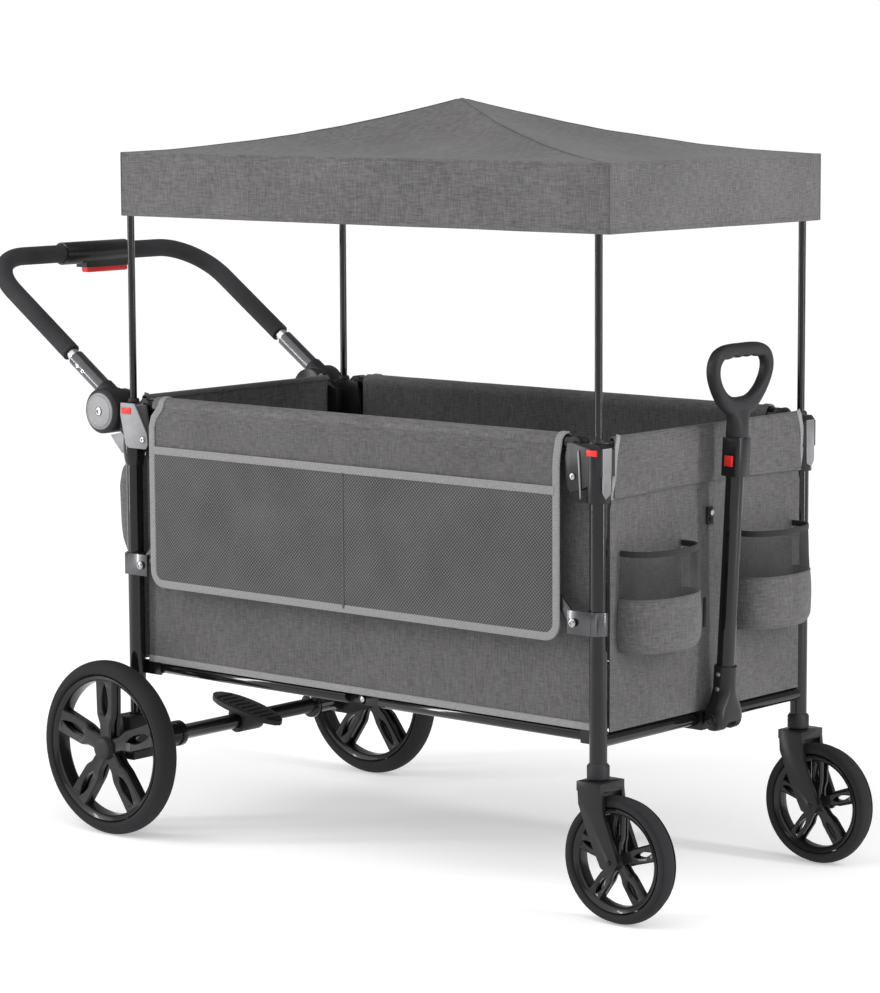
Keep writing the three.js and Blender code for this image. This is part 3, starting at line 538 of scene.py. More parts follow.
for tag, s in SIDES:
    for where, x in (("rear", -XP), ("front", XP)):
        part = Part().put(*rod("z", POLE_R, POST_TOP + 16, HEM_Z + 91.5, x, s * YP, 24), "coat")
        part.put(*lathe([(POLE_R + 0.2, 689), (9.5, 688.6), (9.5, 692), (8, 694.5), (POLE_R, 695)], 28,
                        (x, s * YP, 0), "z"), "plastic")
        part.make(f"{where}_canopy_pole_{tag}", where, [f"{where}_pole_{tag}"], "powder_coat")


def fold_rail(part, front, r, y, z):
    """Half of a rail that folds at its middle: the tube, its pivot eye at the post and the hinge knuckle."""
    g = 1 if front else -1
    part.put(*rod("x", r, *sorted((g * 34, g * (XV - 5))), y, z, 28), "coat")
    side = 1 if y > 0 else -1
    part.put(*rod("y", r, y - r + 0.6, y + r - 0.6, g * XV, z, 28), "plastic")
    lo, hi = (0.4, 8) if front else (-8, -0.4)
    lo, hi = (lo, hi) if side > 0 else (-hi, -lo)
    part.put(*block(*sorted((0, g * 44)), y + lo, y + hi, z - 8, z + 8), "plastic")
    part.put(*rod("y", 8, y + lo, y + hi, 0, z, 24), "plastic")
    part.put(*rod("y", 4.5, y + lo - 0.2, y + hi + 0.2, 0, z, 16), "bolt")


for tag, s in SIDES:
    for half, front in (("rear", False), ("front", True)):
        part = Part()
        fold_rail(part, front, TOP_R, s * YP, TOP_Z)
        body = "top_fore" if front else "top_back"
        part.make(f"top_rail_{half}_tube_{tag}", body, [f"top_rail_{half}_{tag}"], "powder_coat",
                  bevel=0.6, angle=50)

for half, front in (("rear", False), ("front", True)):
    part = Part()
    g = 1 if front else -1
    for s in (1, -1):
        fold_rail(part, front, RAIL_R, s * YR, RAIL_Z)
    part.put(*rod("y", 8, -YR, YR, g * (XV - 60), RAIL_Z - 1, 24), "coat")
    part.put(*block(*sorted((g * 3, g * (XV - 10))), -213, 213, RAIL_Z + 1, RAIL_Z + 6), "board")
    body = "floor_fore" if front else "floor_back"
    part.make(f"floor_{half}_frame", body, [f"floor_{half}"], "powder_coat", bevel=0.6, angle=50)

    def mat_point(u, v, top=True, g=g):
        x = g * (1 + u * (XV - 12))
        y = -208 + v * 416
        edge = min(u, 1 - u, v, 1 - v)
        puff = 6.5 * min(1.0, edge / 0.04) ** 0.5
        for line in (1 / 3, 2 / 3):
            puff *= 1 - 0.6 * math.exp(-((u - line) / 0.012) ** 2)
            puff *= 1 - 0.6 * math.exp(-((v - line) / 0.012) ** 2)
        puff += 0.6 * wobble(x, y, 3, 60)
        return (x, y, RAIL_Z + 6.3 + (puff if top else 0.0))
    us = linspace(0, 1, 61)
    part = Part().put(*grid(us, us, mat_point), "board")
    part.put(*grid(us, us, lambda u, v: mat_point(u, v, False)), "board")
    part.make(f"floor_mat_{half}", body, (), "cloth")

# ---------------------------------------------------------------- hardware kept from the solids
# CAD node, name of the piece, material, body, slot, rounding of the edges
PAIRED = (("front_bracket", "front_corner", "satin", "front", "plastic", 2.2),
          ("rear_bracket", "rear_corner", "satin", "rear", "plastic", 1.8),
          ("axle_housing", "axle_block", "plastic", "rear", "plastic", 3.0),
          ("rear_clamp", "rear_clamp_band", "dark_metal", "rear", "powder_coat", 0.8),
          ("front_clamp", "front_clamp_band", "dark_metal", "front", "powder_coat", 0.8),
          ("rear_stay", "rear_stay_bar", "dark_metal", "stays_back", "powder_coat", 0.6),
          ("front_stay", "front_stay_bar", "dark_metal", "stays_fore", "powder_coat", 0.6))
SINGLE = (("rear_axle", "rear_axle_tube", "coat", "rear", "powder_coat", 1.0),
          ("brake_pedal", "brake_pedal_body", "plastic", "pedal", "plastic", 1.6),
          ("pull_bracket", "pull_mount", "satin", "front", "plastic", 2.0),
          ("pull_collar", "pull_collar_body", "satin", "pull", "plastic", 1.0),
          ("pull_button", "pull_release_button", "red", "pull_button", "red", 1.0),
          ("push_lever", "push_squeeze_lever", "red", "lever", "red", 3.0),
          ("push_housing", "push_grip_housing", "satin", "push_bow", "plastic", 2.0))
for tag, s in SIDES:
    for node, name, key, body, slot, bevel in PAIRED:
        refined(f"{node}_{tag}", f"{name}_{tag}", key, body, slot, bevel)
    refined(f"caster_fork_{tag}", f"caster_fork_body_{tag}", "satin", f"caster_{tag}", "plastic", 2.4)
    for body, x in (("rear", -440.0), ("front", 440.0)):
        bolt = [(6.5, 267.6), (6.5, 269.6), (4.6, 271.4), (2.4, 271.6), (2.4, 270.2)]
        side_piece(f"{body}_clamp_bolt_{tag}", body, "powder_coat", s, (lathe(bolt, 24, (x, 0, 431)), "bolt"))
for row in SINGLE:
    refined(*row)


# ---------------------------------------------------------------- wheels
def tyre_profile(r, bead, w):
    h = w / 2
    crown = []
    for k in range(15):
        t = -1 + 2 * k / 14
        groove = 1.3 if abs(abs(t) - 0.36) < 0.06 else 0.0
        crown.append((r - 9 * abs(t) ** 2.6 - groove, t * (h - 2)))
    left = [(bead + 0.5, -h + 8), (bead + 2, -h + 3), (bead + 5, -h + 1.2), (bead + 9, -h + 0.6),
            (bead + 10, -h + 1.6), (bead + 12, -h + 1.4)]
    right = [(a, -b) for a, b in reversed(left)]
    return left + crown + right


def blade(part, centre, mid, r0, r1, w0, w1, slot, y_lo, y_hi, crown):
    """One rim spoke: narrow at the hub, wide at the ring, with a pointed slot and eased edges."""
    ts = linspace(0, 1, 25)
    rows = []
    for t in ts:
        shoulder = min(1.0, max(0.0, (t - 0.22) / 0.22))
        w = w0 + (w1 - w0) * (0.35 * t + 0.65 * shoulder * shoulder * (3 - 2 * shoulder))
        k = (t - 0.40) / 0.54
        g = slot * (math.sin(math.pi * k ** 0.8) ** 0.8) if 0 < k < 1 else 0.0
        rows.append((r0 + (r1 - r0) * t, w, g))
    up = 1 if y_hi > y_lo else -1
    c, sn = math.cos(math.radians(mid)), math.sin(math.radians(mid))

    def place(r, w, y):
        return (centre[0] + r * c - w * sn, centre[1] + y, centre[2] + r * sn + w * c)
    for side in (1, -1):
        verts = []
        for r, w, g in rows:
            edge = max(w - 2.2, g + 0.1)
            verts += [place(r, side * g, y_lo), place(r, side * g, y_hi - up * (1.2 if g > 0.5 else 0)),
                      place(r, side * min(g + 1.4, edge), y_hi), place(r, side * edge, y_hi + up * crown),
                      place(r, side * w, y_hi - up * 2.2), place(r, side * w, y_lo)]
        faces = []
        for i in range(len(rows) - 1):
            solid = rows[i][2] > 0 or rows[i + 1][2] > 0
            for j in range(6):
                if j == 0 and not solid:
                    continue
                a, b = i * 6 + j, i * 6 + (j + 1) % 6
                faces.append((a, b, b + 6, a + 6) if side > 0 else (a + 6, b + 6, b, a))
        part.put(verts, faces, "rim")


def wheel(name, body, centre, bead, w, outward, tyre_node, rim_node, hub_r, cap):
    part = Part().put(*lathe(tyre_profile(centre[2], bead, w), 112, centre, closed=True), "tyre")
    part.make(f"{name}_tyre", body, [tyre_node], "tyre", sharp=60)
    part = Part()
    o, f, h = bead - 0.4, outward, w / 2 - 5
    part.put(*lathe([(o, -h - 1.5), (o, h + 1.5), (o - 1.2, h + 2.4), (o - 3.6, h + 2.2), (o - 4.6, h + 0.6),
                     (o - 6.6, h - 0.4), (o - 8, h - 2.4), (o - 9, h - 5), (o - 9, -h + 5), (o - 8, -h + 2.4),
                     (o - 4.6, -h - 0.6), (o - 1.2, -h - 2.4)], 96, centre, closed=True), "rim")
    wide, thin, root = 0.172 * bead, 0.098 * bead, hub_r * 0.7
    for k in range(5):
        mid = 90 + 72 * k
        blade(part, centre, mid, root, o - 6.4, thin, wide, wide * 0.34, f * 3.0, f * (h - 2.8), 0.7)
        blade(part, centre, mid, root, o - 7.4, thin, wide * 0.8, wide * 0.3, -f * 3.0, -f * (h - 3.5), 0.0)
    face, end = w / 2, w / 2 + cap
    hub = ((0.8, 1 - face), (0.95, 4 - face), (0.95, face - 5), (0.9, face - 3.5), (0.86, end - 1.6),
           (0.78, end - 0.4), (0.4, end), (0.02 / hub_r, end))
    part.put(*lathe([(hub_r * q, f * y) for q, y in hub], 48, centre), "plastic")
    part.make(f"{name}_rim", body, [rim_node], "plastic", sharp=34)


for tag, s in SIDES:
    wheel(f"rear_wheel_{tag}", f"wheel_rear_{tag}", (-XP, s * REAR_Y, REAR_R), REAR_R - 22.7, REAR_W, s,
          f"rear_tyre_{tag}", f"rear_rim_{tag}", 20.0, 1.6)
    wheel(f"front_wheel_{tag}", f"caster_wheel_{tag}", (CASTER_X, s * YP, CASTER_R), CASTER_R - 16.7,
          CASTER_W, s, f"caster_tyre_{tag}", f"caster_rim_{tag}", 13.0, 1.5)


# ---------------------------------------------------------------- push handle
def arm_point(t, y):
    p = Vector((HUB[0], 0, HUB[1])) + ARM_NORMAL * ARM_LIFT + ARM_DIR * t
    return Vector((p.x, y, p.z))


def bow_path(start):
    pts = [arm_point(start, ARM_Y)]
    pts += [arm_point(t, ARM_Y) for t in linspace(start, ARM_LEN - BOW_R, 6)[1:-1]]
    for a in linspace(0, math.pi / 2, 17):
        pts.append(arm_point(ARM_LEN - BOW_R * (1 - math.sin(a)), ARM_Y - BOW_R * (1 - math.cos(a))))
    return pts + [Vector((p.x, -p.y, p.z)) for p in reversed(pts)]


part = Part().put(*tube(bow_path(22), 10, 32), "metal")
part.make("push_bow_tube", "push_bow", ["push_bow"], "tube_metal")
path = bow_path(126)
path = [path[0], path[0] + ARM_DIR * 3] + path[1:-1] + [path[-1] + ARM_DIR * 3, path[-1]]
Part().put(*tube(path, 15, 36, 10.4), "foam").make("push_foam_grip", "push_bow", ["push_foam"], "foam")
for tag, s in SIDES:
    part = Part()
    part.put(*tube([arm_point(14.6, s * ARM_Y), arm_point(112, s * ARM_Y)], 13.4, 32, 10.6), "dark_metal")
    for t in (78, 92):
        p = arm_point(t, s * ARM_Y)
        part.put(*tube([p + Vector((0, s * 12.6, 0)), p + Vector((0, s * 13.75, 0))], 3.2, 16, 2.0), "bolt")
        part.put(*tube([p + Vector((0, s * 12.8, 0)), p + Vector((0, s * 13.5, 0))], 2.1, 14), "plastic")
    part.make(f"push_lower_tube_{tag}", "push_arms", [f"push_tube_{tag}"], "tube_metal")
    refined(f"push_hub_{tag}", f"push_hub_barrel_{tag}", "plastic", "push_arms", "plastic", 1.6)
    hub = (HUB[0], 0, HUB[1])
    disc = [(29.5, 270.6), (29, 272.4), (26.5, 273.2), (25.6, 272.5), (24.6, 273.6), (8, 273.8), (7.4, 272.4)]
    bolt = [(6.4, 272), (6.2, 274.6), (3.4, 275), (3.2, 273), (0.02, 273)]
    side_piece(f"push_hub_cover_{tag}", "push_arms", "tube_metal", s, (lathe(disc, 64, hub), "plate"),
               (lathe(bolt, 30, hub), "bolt"))

# ---------------------------------------------------------------- bracket covers and buttons
for tag, s in SIDES:
    plate = [(-483, 688), (-452, 688), (-425, 642), (-423, 624), (-428, 617), (-466, 617), (-473, 622),
             (-479, 648), (-484, 668)]
    screw = [(5.2, 264), (5.2, 266.4), (3.6, 267.4), (1.8, 267.4), (1.8, 266)]
    web = [(-486, 640), (-480, 650), (-480, 606), (-487, 607), (-502, 622), (-512, 634)]
    side_piece(f"rear_corner_plate_{tag}", "rear", "tube_metal", s, (prism(plate, 261.6, 264.6), "plate"),
               (lathe(screw, 24, (-433, 0, 632)), "bolt"), (prism(web, 252, 259.5), "plate"), bevel=1.2)
    collar = [(17.4, 622), (17.4, 610), (16.2, 598), (14.2, 589), (13.1, 588)]
    side_piece(f"rear_post_collar_{tag}", "rear", "plastic", s,
               (lathe(collar, 40, (-XP, YP, 0), "z"), "coat"))
    edge = [(445.5, 676), (448, 679), (452, 612), (450, 607)]
    face = [(238, 682), (259, 682), (259, 620), (252, 610), (240, 616)]
    side_piece(f"front_corner_plates_{tag}", "front", "tube_metal", s, (prism(edge, 261.8, 264), "plate"),
               (prism(face, 486.6, 488.4, "yz"), "plate_dark"), bevel=1.0)
    side_piece(f"rear_corner_button_{tag}", "rear", "red", s,
               (block(-480, -459, 264, 266.2, 671, 681), "red"), bevel=1.0)
    side_piece(f"front_corner_button_{tag}", "front", "red", s,
               (block(462, 481, 261.6, 264, 671, 680), "red"), bevel=0.9)
    screw = [(4.6, 261.5), (4.6, 263.6), (3, 264.4), (1.6, 264.4), (1.6, 263.2)]
    side_piece(f"front_corner_screw_{tag}", "front", "powder_coat", s,
               (lathe(screw, 24, (436, 0, 640)), "bolt"))


# ---------------------------------------------------------------- pull handle
def leaned(shape):
    verts, faces = shape
    out = []
    for x, y, z in verts:
        out.append((PULL[0] + x * math.cos(LEAN) + z * math.sin(LEAN), y,
                    PULL[1] - x * math.sin(LEAN) + z * math.cos(LEAN)))
    return out, faces


def carve(o, shape):
    """Cuts a shape out of a piece."""
    cutter = Part().put(*leaned(shape), "satin").make("cutter", None)
    mod = o.modifiers.new("cut", "BOOLEAN")
    mod.operation, mod.object, mod.solver = "DIFFERENCE", cutter, "EXACT"
    apply_modifiers(o)
    me = cutter.data
    bpy.data.objects.remove(cutter)
    bpy.data.meshes.remove(me)


def stack(table, power, n):
    """Rounded boxes stacked up the handle, each as (height, half width in y, half width in x)."""
    rows = []
    for z, wy, wx in table:
        e = power(z)
        for c, s in turns(n):
            rows.append((wx * math.copysign(abs(s) ** e, s), wy * math.copysign(abs(c) ** e, c), z))
    return rows, ring_faces(len(table), n) + end_faces(len(table), n)


FOOT = ((-17.6, 26, 5), (-17, 28.6, 8), (-14, 29.6, 12.5), (-8, 30, 16.4), (0, 30, 18), (8, 30, 17.4),
        (14, 29.2, 17.0), (20, 27, 16.8), (27, 23.4, 16.8), (35, 19.8, 16.9), (44, 17.6, 17.0),
        (60, 17.1, 17.0), (76.6, 17.0, 17.0), (78, 15.6, 15.6))
NECK = ((417, 15.2, 14.6), (418.5, 16.2, 15.4), (432, 16.4, 15.0), (442, 18.2, 13.4), (450, 22.5, 11.8),
        (457, 28.5, 10.6), (463, 33, 9.4), (467, 33, 7))
shell = stack(FOOT, lambda z: 0.45 + 0.55 * min(1, max(0, (z - 4) / 40)), 40)
part = Part().put(*leaned(shell), "satin")
foot = part.make("pull_foot_skirt", "pull", ["pull_foot"], "plastic", sharp=50)
carve(foot, block(-40, 13, -9.5, 9.5, -40, 16))
carve(foot, block(-40, 40, -9.5, 9.5, -40, -5))
carve(foot, rod("y", 5.3, -40, 40, 0, 0, 24))
carve(foot, rod("z", 13.8, 40, 90, 0, 0, 36))
smooth(foot, 40)
part = Part().put(*leaned(rod("z", 13.5, 40.5, 362, 0, 0, 36, 11.5)), "coat")
part.make("pull_outer_tube", "pull", ["pull_tube"], "powder_coat")
SCREW = [(3.4, 17.0), (3.4, 18.6), (2.2, 19.2), (0.02, 19.2)]
CAP = [(10, 29.6), (10, 32.6), (8.6, 33.6), (6.4, 33.6), (6.0, 32.4), (3.4, 32.4), (3.0, 33.4), (0.02, 33.4)]
for name, slot, key, profile, n, heights in (("pull_foot_screws", "powder_coat", "bolt", SCREW, 18, (44, 66)),
                                             ("pull_pivot_caps", "plastic", "satin", CAP, 32, (0,))):
    part = Part()
    for z in heights:
        for s in (1, -1):
            part.put(*leaned(on_side(lathe(profile, n, (0, 0, z)), s)), key)
    part.make(name, "pull", (), slot)


def smooth_loop(points, n):
    """A closed Catmull-Rom curve through points given for y >= 0 and mirrored in y."""
    pts = points + [(-y, z) for y, z in reversed(points) if y > 0.01]
    out, m = [], len(pts)
    for k in range(n):
        q = k / n * m
        i, t = int(q), q - int(q)
        p0, p1, p2, p3 = (Vector(pts[(i + d) % m]) for d in (-1, 0, 1, 2))
        out.append(0.5 * (2 * p1 + (p2 - p0) * t + (2 * p0 - 5 * p1 + 4 * p2 - p3) * t * t
                          + (3 * p1 - p0 - 3 * p2 + p3) * t ** 3))
    return out


def grip_ring():
    """The D grip: an eye of rounded section, deep at the top bar, with finger bumps below it."""
    outer = [(0, 555), (22, 555), (44, 553), (61, 546), (71, 533), (73.5, 517), (69, 500), (59, 482),
             (46, 466), (33, 455), (18, 449), (0, 447)]
    inner = [(0, 537), (18, 537), (35, 536), (48, 532), (55, 524), (56.5, 515), (53, 504), (45, 493),
             (34, 484), (22, 478.5), (11, 476.5), (0, 476)]
    rows, n = 132, 24
    a, b = smooth_loop(outer, rows), smooth_loop(inner, rows)
    verts = []
    for k in range(rows):
        o, i = a[k].copy(), b[k].copy()
        if i.y > 528 and abs(i.x) < 46:
            i.y -= 2.6 * abs(math.sin(math.pi * (i.x + 44) / 22)) * min(1, (46 - abs(i.x)) / 6) + 0.6
        mid, half = (o + i) / 2, (o - i) / 2
        for c, s in turns(n):
            p = mid + half * math.copysign(abs(c) ** 0.8, c)
            verts.append((10.4 * math.copysign(abs(s) ** 0.8, s), p.x, p.y))
    return verts, ring_faces(rows, n, closed=True)


part = Part()
part.put(*leaned(grip_ring()), "plastic")
part.put(*leaned(stack(NECK, lambda z: 0.8, 28)), "plastic")
part.put(*leaned(rod("z", 11.2, 132, 420, 0, 0, 28)), "metal")
part.make("pull_d_grip", "pull_grip", ["pull_grip"], "plastic", sharp=60)


def soft(o):
    """Gives the cloth piece a mesh of its own."""
    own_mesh(o)


WALL_HALF, WALL_LOW, WALL_HIGH = 455.0, 273.0, 684.0
FLAP_HALF, FLAP_LOW, CORNER_R = 415.0, 401.0, 26.0


def wall_point(u, v, s):
    x, z = u, v
    hang = math.sin(math.pi * min(max((z - WALL_LOW) / (WALL_HIGH - WALL_LOW), 0), 1))
    edge = min(1.0, (WALL_HALF - abs(x)) / 60)
    y = WALL_Y - 1.25 + 1.6 * hang * edge * wobble(x, z, 1 + s, 130)
    y -= 1.4 * edge * hang * abs(wobble(x * 0.4 + z * 0.3, z, 5, 45))
    return (x, s * y, z)


def flap_shape(v):
    """v runs from 0 at the rail's outer side down to the hem at 1."""
    r = TOP_R + 2.0
    z = TOP_Z + 1 - v * (TOP_Z + 1 - FLAP_LOW)
    ease = min(1.0, max(0.0, (TOP_Z - z) / 26))
    return YP + r + (FLAP_Y - 1.2 - YP - r) * (ease * ease * (3 - 2 * ease)), z


def flap_limit(z, front=True):
    d = max(0.0, FLAP_LOW + CORNER_R - z)
    cut = CORNER_R - math.sqrt(max(CORNER_R ** 2 - d * d, 0.0))
    top = 0.0 if front else 15 * min(1.0, max(0.0, (z - 664) / 22))
    return FLAP_HALF - cut - top


def flap_point(u, v, s):
    y, z = flap_shape(v)
    x = u * flap_limit(z, u > 0)
    calm = min(1.0, (1 - abs(u)) * 14, max(0.0, (z - FLAP_LOW) / 30), max(0.0, (TOP_Z - z) / 20))
    y += 0.9 * calm * wobble(x, z, 2, 110)
    return (x, s * y, z)


def roll_point(u, v, s):
    """The panel's top rolled over the rail, from inside the wagon to its outer side."""
    a = math.pi * (1.08 - 1.16 * v)
    r = TOP_R + 2.2 + 0.35 * wobble(u * FLAP_HALF, v * 40, 16 + s, 60)
    y = YP + r * math.cos(a)
    z = TOP_Z + r * math.sin(a)
    return (u * FLAP_HALF, s * y, z)


def pocket_point(u, v, s):
    z = 406 + v * (617 - 406)
    x = u * (flap_limit(z) - 5)
    room = min(1.0, (1 - abs(u)) * 12, v * 6, (1 - v) * 8, abs(u) * 24 + 0.25)
    y = FLAP_Y + 0.6 + 3.0 * room * (0.65 + 0.35 * wobble(x, z, 4, 150))
    return (x, s * y, z)


def frame_path(s, inset, lift):
    """The binding's way round the flap, from the rear top down, along the hem and up to the front top."""
    ends = []
    for g in (-1, 1):
        run = []
        for a in linspace(math.pi * 0.58, 0.12, 8):
            r = TOP_R + 3.0 + lift
            x = flap_limit(TOP_Z + 1, g > 0) - inset
            run.append(((g * x, s * (YP + r * math.cos(a)), TOP_Z + r * math.sin(a)),
                        (0, s * math.cos(a), math.sin(a))))
        for z in linspace(WALL_HIGH, FLAP_LOW + CORNER_R, 18):
            y = flap_shape((TOP_Z + 1 - z) / (TOP_Z + 1 - FLAP_LOW))[0]
            run.append(((g * (flap_limit(z, g > 0) - inset), s * (y + 1.4 + lift), z), (0, s, 0)))
        ends.append(run)
    r, straight, y = CORNER_R - inset, FLAP_HALF - CORNER_R, s * (FLAP_Y + lift)

    def corner(g, a):
        return (g * (straight + r * math.cos(a)), y, FLAP_LOW + CORNER_R - r * math.sin(a)), (0, s, 0)
    quarter = linspace(0, math.pi / 2, 9)
    hem = [((x, y, FLAP_LOW + inset), (0, s, 0)) for x in linspace(-straight, straight, 30)[1:]]
    pts = ends[0] + [corner(-1, a) for a in quarter[1:]] + hem + [corner(1, a) for a in quarter[-2::-1]]
    pts += ends[1][::-1][1:]
    return [p for p, _ in pts], [n for _, n in pts]


for tag, s in SIDES:
    xs = sorted(set(linspace(-WALL_HALF, WALL_HALF, 78) + [-FLAP_HALF, FLAP_HALF]))
    zs = sorted(set(linspace(WALL_LOW, WALL_HIGH, 36) + [600]))
    wall = cloth_piece(f"side_wall_{tag}", "rear", xs, zs, lambda u, v: wall_point(u, v, s),
                       node=[f"side_panel_{tag}"], keep=lambda u, v: abs(u) < FLAP_HALF or v < 600)
    soft(wall)
    flap = cloth_piece(f"side_flap_{tag}", "rear", linspace(-1, 1, 90), linspace(0, 1, 44),
                       lambda u, v: flap_point(u, v, s))
    soft(flap)
    net = cloth_piece(f"side_pocket_net_{tag}", "rear", linspace(-1, 1, 100), linspace(0, 1, 34),
                      lambda u, v: pocket_point(u, v, s), "net", solid=0.9)
    soft(net)
    # the roll is made in the lighter cloth, a painted highlight for the light on its top
    roll = cloth_piece(f"side_roll_{tag}", "rear", linspace(-1, 1, 90), linspace(0, 1, 22),
                       lambda u, v: roll_point(u, v, s), "cloth_lit")
    soft(roll)
    out = (0, s, 0)
    part = Part()
    route, normals = frame_path(s, 5.2, 0.2)
    part.put(*ribbon(route, 12.5, 3.6, normals), "tape")
    part.put(*ribbon([(x, s * (FLAP_Y + 1.6), 618) for x in linspace(-407, 407, 40)], 12.5, 2.6, out), "tape")
    part.put(*ribbon([(-2, s * (FLAP_Y + 1.9), z) for z in linspace(407, 613, 12)], 4.0, 2.2, out),
             "tape_dark")
    soft(part.make(f"side_bindings_{tag}", "rear", (), "cloth", sharp=50))
    hem = [(x, s * (WALL_Y - 0.2), WALL_LOW + 3) for x in linspace(-WALL_HALF, WALL_HALF, 40)]
    part = Part().put(*ribbon(hem, 11, 3.4, out), "tape")
    soft(part.make(f"side_hem_{tag}", "rear", (), "cloth", sharp=50))

# ---------------------------------------------------------------- end panels
def end_sheet(g, inner_half, name, body, node):
    x0 = XP + 8.2

    def low_point(u, v):
        wide = 232 if v < 600 else inner_half
        return (g * (x0 + 1.5 * math.sin(math.pi * min(1, (v - 272) / 400)) * wobble(u, v, 8 + g, 90)),
                max(-wide, min(wide, u)), v)
    ys = sorted(set(linspace(-232, 232, 44) + [-inner_half, inner_half]))
    zs = sorted(set(linspace(272, 690, 40) + [600, 601]))
    panel = cloth_piece(f"{name}_panel", body, ys, zs, low_point, node=[node], solid=2.0,
                        keep=lambda u, v: abs(u) < inner_half or v < 600)

    def over_point(u, v):
        y = u * (inner_half - 0.5 - 3 * max(0, 1 - abs(v - 0.7) * 3))
        hem = 611 + 2.2 * math.cos(math.pi * u)
        if v < 0.3:
            a = math.pi * (1 - v / 0.3)
            return (g * (x0 + 0.8 + 5.8 * math.cos(a)), y, 690 + 6.3 * math.sin(a))
        z = 690 + (hem - 690) * (v - 0.3) / 0.7
        bulge = 1.1 * wobble(y, z, 11 + g, 70) * min(1, (v - 0.3) * 4)
        return (g * (x0 + 6.2 - 2.0 * (v - 0.3) + bulge), y, z)
    vs = linspace(0, 0.3, 9) + linspace(0.3, 1, 18)[1:]
    over = cloth_piece(f"{name}_fold_over", body, linspace(-1, 1, 50), vs, over_point, solid=1.8)
    part = Part()
    for s in (1, -1):
        pts = []
        for t in linspace(0, 1, 14):
            z = 699 - 92 * t
            y = inner_half - 10 + 11.5 * math.sin(min(1.0, t * 1.8) * math.pi / 2) - 2.5 * t
            pts.append((g * (x0 + 1.5 + 5.5 * math.sin(math.pi * min(1, 0.28 + t * 0.7))), s * y, z))
        part.put(*ribbon(pts, 9, 2.8, (g, 0, 0)), "tape")
    seam = [(g * (x0 + 4.6), y, 612 + 2.2 * math.cos(math.pi * y / inner_half))
            for y in linspace(-inner_half + 6, inner_half - 6, 30)]
    part.put(*ribbon(seam, 3.2, 1.6, (g, 0, 0)), "tape_dark")
    part.make(f"{name}_panel_bindings", body, (), "cloth", sharp=50)

    def strip_point(u, v):
        """The floor cloth between the board's end and the end panel."""
        rise = 2.5 * math.exp(-((478 - v) / 5) ** 2)
        return (g * v, u, 275.5 + rise + 0.5 * wobble(u, v, 14 + g, 40))
    strip = cloth_piece(f"floor_end_strip_{name}", None, linspace(-227, 227, 44), linspace(427.5, 477, 14),
                        strip_point, "board")
    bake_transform(strip)


end_sheet(1, 229.5, "front", "front", "front_end_panel")
end_sheet(-1, 214.0, "rear", "rear", "rear_end_panel")
snap = Part()
snap.put(*block(XP + 10.5, XP + 14.5, -7, 7, 548, 574), "plastic")
snap.put(*tube([(XP + 14, 0, 566), (XP + 17.5, 0, 566)], 5.0, 24), "bolt")
snap.put(*tube([(XP + 14, 0, 555), (XP + 16.5, 0, 555)], 3.4, 20), "plastic")
snap.put(*tube([(XP + 9.5, -76, 386), (XP + 12.5, -76, 386)], 3.2, 20), "bolt")
# painted shade: a black strip stands for the dark slot in the panel behind the pull tube
snap.put(*block(XP + 9.6, XP + 11.4, -12, -6, 396, 440), "plastic")
snap.make("pull_handle_snap", "front", (), "plastic", bevel=0.8)

# ---------------------------------------------------------------- cup pockets
CUP_Y, CUP_HALF, CUP_DEPTH = 138.0, 76.0, 57.0
CUP_X = XP + 9.8


def cup_point(u, z, s):
    """u from -1 to 1 round the D; z up the pocket."""
    a = u * math.pi / 2
    low = max(0.0, (398 - z) / 14)
    tuck = 1 - 0.10 * min(1, low) ** 2
    mouth = 1 - 0.05 * max(0.0, (z - 462) / 70)
    belly = 1 + 0.035 * math.sin(math.pi * min(1, max(0, (z - 384) / 78)))
    half, depth = (size * tuck * mouth * belly for size in (CUP_HALF, CUP_DEPTH))
    x = CUP_X + 1 + depth * abs(math.cos(a)) ** 0.62
    y = CUP_Y + half * math.sin(a)
    ripple = 0.7 * wobble(y, z, 13 + s, 35)
    return (min(x + ripple, XP + 73), s * y, z)


def outward_normals(path, s):
    """Horizontal normals of a path round a pocket, pointing away from the panel."""
    out = []
    for i in range(len(path)):
        a, b = Vector(path[max(i - 1, 0)]), Vector(path[min(i + 1, len(path) - 1)])
        t = b - a
        out.append((t.y * s, -t.x * s, 0))
    return out


def net_threads(part, point, us, zs):
    """A real net: two sets of crossing threads laid on a surface."""
    for direction in (1, -1):
        for start in range(-len(zs), len(us)):
            run = []
            for j, z in enumerate(zs):
                i = start + j if direction > 0 else start + len(zs) - 1 - j
                if 0 <= i < len(us):
                    run.append(point(us[i], z))
            if len(run) > 2:
                part.put(*tube(run, 0.36, 4), "net_thread")


def shifted(path, by):
    return [tuple(a + b for a, b in zip(p, by)) for p in path]


